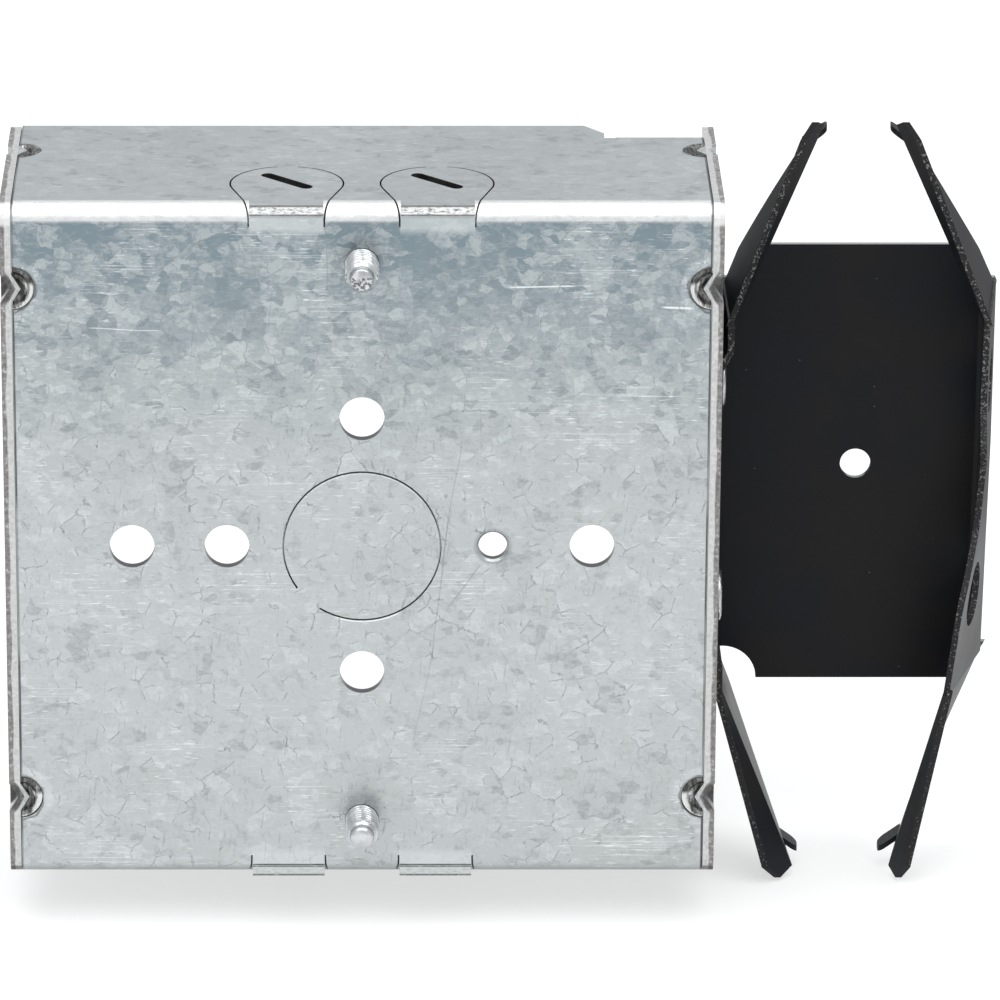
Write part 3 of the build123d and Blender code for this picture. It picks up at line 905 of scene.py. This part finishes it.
@dataclass(frozen=True)
class BruisedZinc:
    """Zinc sheet crushed by the staking punch, with painted shade in the folds and painted
    highlights on the ridges and the bowl's lower half.
    """

    # dark is the painted shade in the folds and the fine dark specks; bright is the painted
    # highlight on the ridges and the bowl's lower half.
    dark: Colour = (0.060, 0.058, 0.055)
    middle: Colour = (0.220, 0.222, 0.215)
    bright: Colour = (0.800, 0.810, 0.790)
    metallic: float = 0.8
    fine_scale: float = 3200.0
    torn_scale: tuple[float, float, float] = (1500.0, 900.0, 420.0)
    relief: float = 0.25 * MM
    stake_x: float = 49.1 * MM
    stake_z: float = 38.5 * MM

    def material(self) -> bpy.types.Material:
        """Build the finish.

        Returns:
            The bruised material.
        """
        bench = ShaderBench(bpy.data.materials.new("bruised_zinc"))
        place = bench.place()
        fine = bench.noise(place.point, self.fine_scale, 2.0, 0.6)
        side = abs(place.x) - self.stake_x
        level = place.z - bench.calculate("SIGN", place.z) * self.stake_z
        radius = (side * side + level * level).root()
        torn = bench.noise(bench.stretch(place.point, self.torn_scale), 1.0, 3.0, 0.7)
        # Painted shade in the folds and painted highlight on the ridges, following the same noise
        # as the relief.
        colour = bench.blend(torn.rise(0.40, 0.60), self.dark, self.middle)
        colour = bench.blend(torn.rise(0.62, 0.70) * 0.8, colour, self.bright)
        # Painted highlight on the lower half of the bowl, outside its middle.
        crescent_highlight = (radius + torn * (0.8 * MM) + level * 0.35).rise(2.15 * MM, 2.45 * MM)
        crescent_highlight = crescent_highlight * level.fall(0.2 * MM, 1.0 * MM) * place.y.fall(2.0 * MM, 3.0 * MM)
        colour = bench.blend(crescent_highlight * 0.92, colour, self.bright)
        colour = bench.blend(fine.rise(0.64, 0.74) * 0.5, colour, self.dark)
        rough = fine * 0.2 + 0.30
        height = torn * 0.8 + fine * 0.2
        inputs = {"Base Color": colour, "Metallic": self.metallic, "Roughness": rough}
        return bench.finish(inputs, height, self.relief)


@dataclass(frozen=True)
class ZincPlating:
    """Electroplated zinc on screws, clamps and rivets: brighter than the sheet, rubbed on top."""

    name: str
    zinc: Colour = (0.62, 0.64, 0.65)
    dull: Colour = (0.30, 0.31, 0.32)
    bright: Colour = (0.88, 0.88, 0.87)
    # Near-black for painted shade in the thread roots and for the torn end of each tip.
    valley: Colour = (0.085, 0.085, 0.085)
    roughness: float = 0.26
    metallic: float = 0.92
    cloud_scale: float = 260.0
    fine_scale: float = 2200.0
    pit_scale: float = 3300.0
    rub_scale: tuple[float, float, float] = (350.0, 2600.0, 350.0)
    relief: float = 0.06 * MM
    tip_z: float = 42.1 * MM
    tip_y: float = -7.3 * MM
    cone: float = 2.1 * MM
    root_radius: float = 2.0 * MM

    def material(self) -> bpy.types.Material:
        """Build the finish.

        Returns:
            The plated material.
        """
        bench = ShaderBench(bpy.data.materials.new(self.name))
        place = bench.place()
        clouds = bench.noise(place.point, self.cloud_scale, 3.0, 0.6)
        fine = bench.noise(place.point, self.fine_scale, 2.0, 0.6)
        drawn = bench.stretch(place.point, self.rub_scale)
        rub = bench.noise(drawn, 1.0, 2.0).rise(0.58, 0.70)
        pits = bench.noise(place.point, self.pit_scale, 1.0).rise(0.68, 0.78)
        colour = bench.blend(clouds.rise(0.35, 0.75) * 0.7, self.zinc, self.dull)
        colour = bench.blend(rub * 0.7, colour, self.bright)
        colour = bench.blend(pits * 0.6, colour, self.dull)
        # Painted shade in the thread roots of the clamp screws' ends.
        off_axis = abs(place.z) - self.tip_z
        radius = (place.x * place.x + off_axis * off_axis).root()
        outside = place.y.fall(-1.2 * MM, -0.6 * MM)
        behind_cone = place.y.rise(self.tip_y + self.cone, self.tip_y + self.cone + 0.2 * MM)
        root = radius.fall(self.root_radius, self.root_radius + 0.28 * MM) * outside * behind_cone
        colour = bench.blend(root * 0.75, colour, self.valley)
        lower_half = (place.z - self.tip_z).near(-0.8 * MM, 1.1 * MM, 0.2 * MM)
        broken = place.facing_y.fall(-0.9, -0.6) * outside * lower_half
        torn = broken * bench.noise(place.point, self.fine_scale, 2.0).rise(0.44, 0.54)
        colour = bench.blend(torn * 0.85, colour, self.valley)
        rough = clouds * 0.22 - rub * 0.08 + pits * 0.15 + (self.roughness - 0.08)
        height = fine * 0.5 - pits * 0.5 + 0.5
        inputs = {"Base Color": colour, "Metallic": self.metallic, "Roughness": rough}
        return bench.finish(inputs, height, self.relief)


@dataclass(frozen=True)
class SpringSteel:
    """Blackened spring steel: near-black faces with dust, speckled grey cut edges, and a painted
    highlight on the plate's top edge.
    """

    black: Colour = (0.0048, 0.0060, 0.0095)
    brown: Colour = (0.0110, 0.0100, 0.0096)
    cut: Colour = (0.230, 0.220, 0.210)
    # Grey of the dust, also used for the painted highlight on the plate's top edge.
    dust: Colour = (0.420, 0.420, 0.420)
    specular: float = 0.17
    cloud_scale: float = 48.0
    fine_scale: float = 1500.0
    grit_scale: float = 3000.0
    dust_scales: tuple[float, float] = (260.0, 640.0)
    relief: float = 0.08 * MM
    plate_back: float = 34.9 * MM
    near_edge: float = 14.8 * MM
    waist_z: float = 27.0 * MM

    def material(self) -> bpy.types.Material:
        """Build the finish.

        Returns:
            The blackened material.
        """
        bench = ShaderBench(bpy.data.materials.new("blackened_spring_steel"))
        place = bench.place()
        clouds = bench.noise(place.point, self.cloud_scale, 3.0, 0.6)
        fine = bench.noise(place.point, self.fine_scale, 2.0, 0.6)
        grit = bench.noise(place.point, self.grit_scale, 2.0, 0.65)
        sparse, dense = self.dust_scales
        dust = bench.specks(place, sparse, 0.035, 0.30)
        dust = dust.largest(bench.specks(place, dense, 0.05, 0.10))
        away = place.y.fall(self.plate_back - 0.5 * MM, self.plate_back)
        facing = place.facing_y.fall(-0.75, -0.45)
        waist = facing * away * abs(place.z).fall(self.waist_z, self.waist_z + 1.0 * MM)
        near_cut = facing * place.y.fall(self.near_edge + 0.03 * MM, self.near_edge + 0.12 * MM)
        end_cut = abs(place.facing_z).rise(0.70, 0.9)
        upright = abs(place.z).fall(self.waist_z, self.waist_z + 4.0 * MM)
        cut = waist.largest(near_cut).largest(end_cut * 0.8)
        # Bright specks where the cut edges show bare steel.
        marked = (grit + upright * 0.03 + place.z.rise(-10.0 * MM, 10.0 * MM) * 0.05).rise(0.60, 0.70)
        colour = bench.blend(clouds.rise(0.35, 0.70), self.black, self.brown)
        colour = bench.blend(cut * (marked * 0.90 + 0.06), colour, self.cut)
        # Painted highlight along the clip plate's upward-facing top edge, in the dust grey.
        on_plate = place.y.rise(self.plate_back, self.plate_back + 0.1 * MM)
        top_edge_highlight = place.facing_z.rise(0.7, 0.9) * on_plate
        colour = bench.blend(top_edge_highlight * (grit * 0.7 + 0.5), colour, self.dust)
        colour = bench.blend(dust * 0.75, colour, self.dust)
        outer = abs(place.facing_x).rise(0.45, 0.75) * place.z.rise(-16.0 * MM, 4.0 * MM)
        rough = clouds * 0.16 + cut * 0.10 + dust * 0.2 + outer * 0.20 + 0.32
        height = fine * 0.30 + dust * 0.5 - cut * (1.0 - marked) * 0.8 + 0.4
        inputs = {
            "Base Color": colour,
            "Metallic": cut * marked * 0.7,
            "Roughness": rough,
            "Specular IOR Level": self.specular,
        }
        return bench.finish(inputs, height, self.relief)


class Drive(Enum):
    """Recess in a screw's head."""

    SLOT = "slot"
    COMBINATION = "combination"


@dataclass
class MachineScrew:
    """Threaded screw along Y that stands for one of the CAD screws."""

    node: str
    body: str
    drive: Drive
    shaft: float
    head_height: float
    head_diameter: float
    slot_width: float
    slot_depth: float
    tip_diameter: float
    tip_length: float
    domed: bool
    pitch: float = 0.794 * MM
    thread_depth: float = 0.42 * MM
    flank_slope: float = 1.9
    root_flat: float = 0.35
    run_out: float = 1.2
    cone: float = 0.7 * MM
    dome_rounding: float = 0.55
    point_rounding: float = 0.22
    rim_share: float = 0.42
    rim_lean: float = 1.25
    rim_steps: int = 9
    seat_round: float = 0.12 * MM
    cross_length: float = 4.6 * MM
    around: int = 48
    per_turn: int = 9

    def shaft_radius(self, y: float, turn: float, tip_y: float, seat_y: float) -> float:
        """Radius of the threaded shaft.

        Args:
            y: place along the screw.
            turn: angle round it as a share of a turn.
            tip_y: Y of the screw's end.
            seat_y: Y of the head's underside.

        Returns:
            The radius there.
        """
        outer = self.shaft / 2
        phase = (y / self.pitch - turn) % 1.0
        ridge = self.flank_slope * (1.0 - abs(2.0 * phase - 1.0)) - self.root_flat
        ridge = min(1.0, max(0.0, ridge))
        run_out = min(1.0, max(0.0, (seat_y - y) / (self.run_out * self.pitch)))
        depth = self.thread_depth * run_out
        radius = outer - depth * (1.0 - ridge)
        from_tip = y - tip_y
        if from_tip < self.tip_length + self.cone:
            share = max(0.0, (from_tip - self.tip_length) / self.cone)
            radius = min(radius, self.tip_diameter / 2 + share * (outer - self.tip_diameter / 2))
        if from_tip < self.tip_length / 2:
            lift = 1.0 - from_tip / (self.tip_length / 2)
            rounding = self.dome_rounding if self.domed else self.point_rounding
            radius *= 1.0 - rounding * (1.0 - math.sqrt(max(0.0, 1.0 - lift * lift)))
        return radius

    def rings(self, tip_y: float, seat_y: float, top_y: float) -> list[tuple[float, float | None]]:
        """Stations along the screw.

        Args:
            tip_y: Y of the screw's end.
            seat_y: Y of the head's underside.
            top_y: Y of the head's top.

        Returns:
            Pairs of Y and a fixed radius, or None where the thread gives it.
        """
        step = self.pitch / self.per_turn
        count = int((seat_y - tip_y) / step)
        stations: list[tuple[float, float | None]] = [
            (tip_y + (seat_y - tip_y) * index / count, None) for index in range(count + 1)
        ]
        edge = self.head_diameter / 2
        rim = self.head_height * self.rim_share
        stations += [
            (seat_y, edge - self.seat_round),
            (seat_y + self.seat_round, edge),
            (top_y - rim, edge),
        ]
        for index in range(1, self.rim_steps):
            angle = math.radians(90.0 * index / self.rim_steps)
            y = top_y - rim * (1.0 - math.sin(angle))
            stations.append((y, edge - rim * self.rim_lean * (1.0 - math.cos(angle))))
        return stations

    def blank(self, low: Vector, high: Vector) -> bpy.types.Object:
        """Screw without its recess.

        Args:
            low: lowest corner of the CAD screw.
            high: its highest corner.

        Returns:
            A closed mesh object.
        """
        x, z = (low.x + high.x) / 2, (low.z + high.z) / 2
        seat_y = high.y - self.head_height
        mesh = bmesh.new()
        loops = []
        for y, fixed in self.rings(low.y, seat_y, high.y):
            loop = []
            for index in range(self.around):
                turn = index / self.around
                radius = self.shaft_radius(y, turn, low.y, seat_y) if fixed is None else fixed
                angle = math.tau * turn
                aside, up = radius * math.cos(angle), radius * math.sin(angle)
                loop.append(mesh.verts.new((x + aside, y, z + up)))
            loops.append(loop)
        for lower, upper in zip(loops, loops[1:]):
            for index in range(self.around):
                after = (index + 1) % self.around
                mesh.faces.new((lower[index], upper[index], upper[after], lower[after]))
        tip = mesh.verts.new((x, low.y, z))
        top = mesh.verts.new((x, high.y, z))
        for index in range(self.around):
            after = (index + 1) % self.around
            mesh.faces.new((loops[0][after], tip, loops[0][index]))
            mesh.faces.new((loops[-1][index], top, loops[-1][after]))
        bmesh.ops.recalc_face_normals(mesh, faces=mesh.faces)
        return mesh_object(f"{self.node}_threaded", mesh)

    def cutter(self, low: Vector, high: Vector) -> bpy.types.Object:
        """Tool for the recess.

        Args:
            low: lowest corner of the CAD screw.
            high: its highest corner.

        Returns:
            A mesh object of one or two crossing bars.
        """
        x, z = (low.x + high.x) / 2, (low.z + high.z) / 2
        bars = [(self.head_diameter * 1.2, self.slot_width, self.slot_depth)]
        if self.drive is Drive.COMBINATION:
            bars.append((self.slot_width, self.cross_length, self.slot_depth * 1.05))
        mesh = bmesh.new()
        for width, length, depth in bars:
            made = bmesh.ops.create_cube(mesh, size=1.0)["verts"]
            bmesh.ops.scale(mesh, vec=(width, depth * 2, length), verts=made)
            bmesh.ops.translate(mesh, vec=(x, high.y, z), verts=made)
        return mesh_object(f"{self.node}_recess", mesh)

    def build(self, finish: bpy.types.Material) -> bpy.types.Object:
        """Cut the recess, dress the screw and let it stand for its node.

        Args:
            finish: the screw's material.

        Returns:
            The finished screw.
        """
        low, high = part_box(self.node)
        screw = self.blank(low, high)
        tool = self.cutter(low, high)
        cut = screw.modifiers.new("recess", "BOOLEAN")
        cut.operation = "DIFFERENCE"
        cut.solver = "EXACT"
        cut.use_self = True
        cut.object = tool
        bake_modifiers(screw)
        bpy.data.objects.remove(tool)
        shade_by_angle(screw, 40.0)
        dress(screw, finish)
        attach(screw, self.body)
        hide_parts(self.node)
        return screw


def mesh_object(name: str, mesh: bmesh.types.BMesh) -> bpy.types.Object:
    """Turn a working mesh into an object of the scene.

    Args:
        name: the object's name.
        mesh: the working mesh, which is freed.

    Returns:
        The object.
    """
    data = bpy.data.meshes.new(name)
    mesh.to_mesh(data)
    mesh.free()
    made = bpy.data.objects.new(name, data)
    bpy.context.scene.collection.objects.link(made)
    return made


def bake_modifiers(piece: bpy.types.Object) -> None:
    """Put the result of a piece's modifiers into its mesh.

    Args:
        piece: the mesh object.
    """
    bpy.context.view_layer.update()
    graph = bpy.context.evaluated_depsgraph_get()
    made = bpy.data.meshes.new_from_object(piece.evaluated_get(graph))
    piece.modifiers.clear()
    piece.data = made


def shade_by_angle(piece: bpy.types.Object, angle: float) -> None:
    """Shade a piece smooth, with sharp edges above an angle.

    Args:
        piece: the mesh object.
        angle: the limit in degrees.
    """
    mesh = bmesh.new()
    mesh.from_mesh(piece.data)
    for face in mesh.faces:
        face.smooth = True
    for edge in mesh.edges:
        edge.smooth = len(edge.link_faces) == 2 and edge.calc_face_angle() < math.radians(angle)
    mesh.to_mesh(piece.data)
    mesh.free()


def dress(piece: bpy.types.Object, finish: bpy.types.Material) -> None:
    """Give a piece one material in its first slot."""
    piece.data.materials.clear()
    piece.data.materials.append(finish)


def dress_node(name: str, finish: bpy.types.Material) -> None:
    """Give a CAD node a material through its own slots.

    Args:
        name: the node's name.
        finish: the material.
    """
    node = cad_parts[name]
    if not node.material_slots:
        node.data.materials.append(finish)
    for slot in node.material_slots:
        slot.material = finish


@dataclass
class SheetMetalBox:
    """Folded sheet, two staked side plates and the clip's two rivets."""

    wrap: str = "folded_shell"
    plates: tuple[str, str] = ("left_side_plate", "clip_side_plate")
    rivets: tuple[str, str] = ("upper_rivet", "lower_rivet")

    def build(self) -> list[str]:
        """Dress the sheets and rivets.

        Returns:
            The names of the dressed pieces.
        """
        dress_node(self.wrap, GalvanisedSheet(SheetPart.WRAP).material())
        plate_finish = GalvanisedSheet(SheetPart.PLATE).material()
        for name in self.plates:
            dress_node(name, plate_finish)
        rivet_finish = ZincPlating("plated_rivet").material()
        for name in self.rivets:
            dress_node(name, rivet_finish)
        return [self.wrap, *self.plates, *self.rivets]


@dataclass
class StakedJoints:
    """Folds where each side plate is staked to the sheet: four in the back, four in the walls."""

    body: str = "box"
    edge_x: float = 49.1 * MM
    back_z: float = 38.5 * MM
    wall_y: float = 26.0 * MM
    half_height: float = 50.8 * MM
    radius: float = 3.0 * MM
    bowl: float = 1.15 * MM
    rim_depth: float = 0.12 * MM
    ridge: float = 0.24 * MM
    lean: float = 0.16 * MM
    least_depth: float = 0.06 * MM
    shell: float = 0.25 * MM
    weld: float = 0.005 * MM
    rings: int = 14
    around: int = 20

    def depth(self, share: float, turn: float) -> float:
        """Depth of the fold under the sheet's face.

        Args:
            share: distance from the stake's middle as a share of its radius.
            turn: place round the half circle, 0 at its top and 1 at its bottom.

        Returns:
            The depth in metres.
        """
        bowl = self.bowl * (1.0 - share**2.2) + self.rim_depth
        ridge = self.ridge * math.cos(share * 17.0 + 1.2) * (1.0 - 0.45 * turn)
        lean = self.lean * math.sin(turn * 7.0 + share * 4.0)
        return max(self.least_depth, bowl + ridge + lean)

    def fold(
        self, name: str, side: int, end: int, on_back: bool, finish: bpy.types.Material
    ) -> str:
        """Build one fold.

        Args:
            name: the piece's name.
            side: -1 for the left plate, 1 for the right one.
            end: 1 for the upper half, -1 for the lower half.
            on_back: whether it lies in the back or in a wall.
            finish: its material.

        Returns:
            The piece's name.
        """
        mesh = bmesh.new()
        grid = []
        for ring in range(self.rings + 1):
            share = ring / self.rings
            row = []
            for step in range(self.around + 1):
                turn = step / self.around
                angle = math.pi * turn
                across = self.radius * share * math.sin(angle)
                along = self.radius * share * math.cos(angle)
                depth = self.depth(share, turn)
                x = side * (self.edge_x - across)
                y, z = depth, end * self.back_z + along
                if not on_back:
                    y, z = self.wall_y + along, end * (self.half_height - depth)
                row.append(mesh.verts.new((x, y, z)))
            grid.append(row)
        for inner, outer in zip(grid, grid[1:]):
            for step in range(self.around):
                mesh.faces.new((inner[step], inner[step + 1], outer[step + 1], outer[step]))
        inward = (-1 if on_back else 1) * side * end
        bmesh.ops.remove_doubles(mesh, verts=mesh.verts, dist=self.weld)
        bmesh.ops.solidify(mesh, geom=mesh.faces, thickness=self.shell * inward)
        bmesh.ops.recalc_face_normals(mesh, faces=mesh.faces)
        piece = mesh_object(name, mesh)
        shade_by_angle(piece, 60.0)
        dress(piece, finish)
        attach(piece, self.body)
        return piece.name

    def build(self) -> list[str]:
        """Build all eight folds.

        Returns:
            Their names.
        """
        finish = BruisedZinc().material()
        names = []
        for side, hand in ((-1, "left"), (1, "right")):
            for end, level in ((1, "upper"), (-1, "lower")):
                names.append(self.fold(f"{level}_{hand}_back_fold", side, end, True, finish))
                names.append(self.fold(f"{level}_{hand}_wall_fold", side, end, False, finish))
        return names


@dataclass
class CableClamps:
    """Two stamped clamps, their screws, and the two cover screws."""

    clamps: tuple[str, str] = ("upper_clamp", "lower_clamp")
    ends: tuple[str, str] = ("upper", "lower")

    def clamp_screw(self, end: str) -> MachineScrew:
        """Screw of one clamp, 10-32, whose end stands out of the back.

        Args:
            end: "upper" or "lower".

        Returns:
            The screw.
        """
        return MachineScrew(
            node=f"{end}_clamp_screw",
            body=f"{end}_clamp_screw",
            drive=Drive.COMBINATION,
            shaft=4.8 * MM,
            head_height=3.0 * MM,
            head_diameter=9.4 * MM,
            slot_width=1.4 * MM,
            slot_depth=1.5 * MM,
            tip_diameter=3.4 * MM,
            tip_length=1.4 * MM,
            domed=end == "lower",
        )

    def cover_screw(self, end: str) -> MachineScrew:
        """Screw of one ear, 8-32, with a straight slot.

        Args:
            end: "upper" or "lower".

        Returns:
            The screw.
        """
        return MachineScrew(
            node=f"{end}_cover_screw",
            body=f"{end}_cover_screw",
            drive=Drive.SLOT,
            shaft=4.16 * MM,
            head_height=2.3 * MM,
            head_diameter=7.6 * MM,
            slot_width=1.1 * MM,
            slot_depth=1.1 * MM,
            tip_diameter=3.2 * MM,
            tip_length=0.8 * MM,
            domed=False,
        )

    def build(self) -> list[str]:
        """Dress the clamps and make the threaded screws.

        Returns:
            The names of the pieces.
        """
        clamp_finish = ZincPlating("plated_clamp", roughness=0.34).material()
        for name in self.clamps:
            dress_node(name, clamp_finish)
        screw_finish = ZincPlating("plated_screw", roughness=0.22).material()
        screws = [self.clamp_screw(end) for end in self.ends]
        screws += [self.cover_screw(end) for end in self.ends]
        return [*self.clamps, *(screw.build(screw_finish).name for screw in screws)]


@dataclass
class StudClip:
    """Blackened spring clip that snaps over a steel stud."""

    node: str = "stud_clip"

    def build(self) -> list[str]:
        """Dress the clip.

        Returns:
            The clip's name.
        """
        dress_node(self.node, SpringSteel().material())
        return [self.node]


@dataclass
class Studio:
    """Camera at the photograph's place, soft lamps, pale floor and white surroundings."""

    eye: tuple[float, float, float] = (0.0, -0.9451, 0.3507)
    lens: float = 255.25
    sensor: float = 36.0
    clip: tuple[float, float] = (0.05, 50.0)
    shift_x: float = 0.138
    shift_y: float = 0.0463
    floor_z: float = -58.6 * MM
    floor_half: float = 3.0
    floor_colour: Colour = (0.56, 0.56, 0.56)
    floor_glow: float = 0.52
    sky: float = 0.78
    sky_colour: Colour = (0.96, 0.98, 1.0)

    def camera(self) -> None:
        """Place the camera."""
        data = bpy.data.cameras.new("camera")
        data.lens = self.lens
        data.sensor_width = self.sensor
        data.shift_x = self.shift_x
        data.shift_y = self.shift_y
        data.clip_start, data.clip_end = self.clip
        made = bpy.data.objects.new("camera", data)
        made.location = self.eye
        made.rotation_euler = (-Vector(self.eye)).to_track_quat("-Z", "Y").to_euler()
        bpy.context.scene.collection.objects.link(made)
        bpy.context.scene.camera = made

    def lamp(
        self, name: str, place: tuple[float, float, float], size: tuple[float, float], power: float
    ) -> None:
        """Add a soft lamp that faces the object.

        Args:
            name: the lamp's name.
            place: its centre.
            size: width and height.
            power: its power in watts.
        """
        data = bpy.data.lights.new(name, "AREA")
        data.shape = "RECTANGLE"
        data.size, data.size_y = size
        data.energy = power
        made = bpy.data.objects.new(name, data)
        made.location = place
        made.rotation_euler = (-Vector(place)).to_track_quat("-Z", "Y").to_euler()
        bpy.context.scene.collection.objects.link(made)

    def surroundings(self) -> None:
        """White behind the object for the camera, soft pale light for all else."""
        world = bpy.data.worlds.new("studio")
        bpy.context.scene.world = world
        bench = ShaderBench(world)
        camera = bench.node("ShaderNodeLightPath", output="Is Camera Ray")
        seen = camera.largest(camera.sibling("Is Transmission Ray"))
        light = {"Color": self.sky_colour, "Strength": self.sky}
        soft = bench.node("ShaderNodeBackground", None, light)
        white = bench.node("ShaderNodeBackground", None, {"Strength": 1.0})
        both = bench.node("ShaderNodeMixShader", None, {0: seen, 1: soft, 2: white})
        bench.close("ShaderNodeOutputWorld", both)

    def floor(self) -> None:
        """Plain pale floor that keeps the object's shadow."""
        mesh = bmesh.new()
        bmesh.ops.create_grid(mesh, x_segments=8, y_segments=8, size=self.floor_half)
        floor = mesh_object("floor", mesh)
        floor.location.z = self.floor_z
        bench = ShaderBench(bpy.data.materials.new("pale_floor"))
        camera = bench.node("ShaderNodeLightPath", output="Is Camera Ray")
        seen = camera.largest(camera.sibling("Is Glossy Ray"))
        seen = seen.largest(camera.sibling("Is Transmission Ray"))
        glow = bench.tint((self.floor_glow, self.floor_glow, self.floor_glow), seen)
        material = bench.finish(
            {
                "Base Color": self.floor_colour,
                "Roughness": 1.0,
                "Specular IOR Level": 0.0,
                "Emission Color": glow,
                "Emission Strength": 1.0,
            }
        )
        dress(floor, material)

    def build(self) -> None:
        """Set up the whole studio."""
        scene = bpy.context.scene
        scene.view_settings.view_transform = "Standard"
        self.camera()
        self.surroundings()
        self.lamp("overhead_softbox", place=(0.0, -0.35, 1.15), size=(1.9, 1.5), power=13.0)
        self.lamp("front_fill", place=(-0.7, -1.5, 0.55), size=(1.2, 1.2), power=1.0)
        self.floor()


def main() -> None:
    """Build the studio and every sub-assembly, and log each dressed piece."""
    logging.basicConfig(level=logging.INFO, format="%(name)s: %(message)s")
    Studio().build()
    for assembly in (SheetMetalBox(), StakedJoints(), CableClamps(), StudClip()):
        for name in assembly.build():
            LOG.info("%s: %s is dressed", type(assembly).__name__, name)


if __name__ == "__main__":
    main()
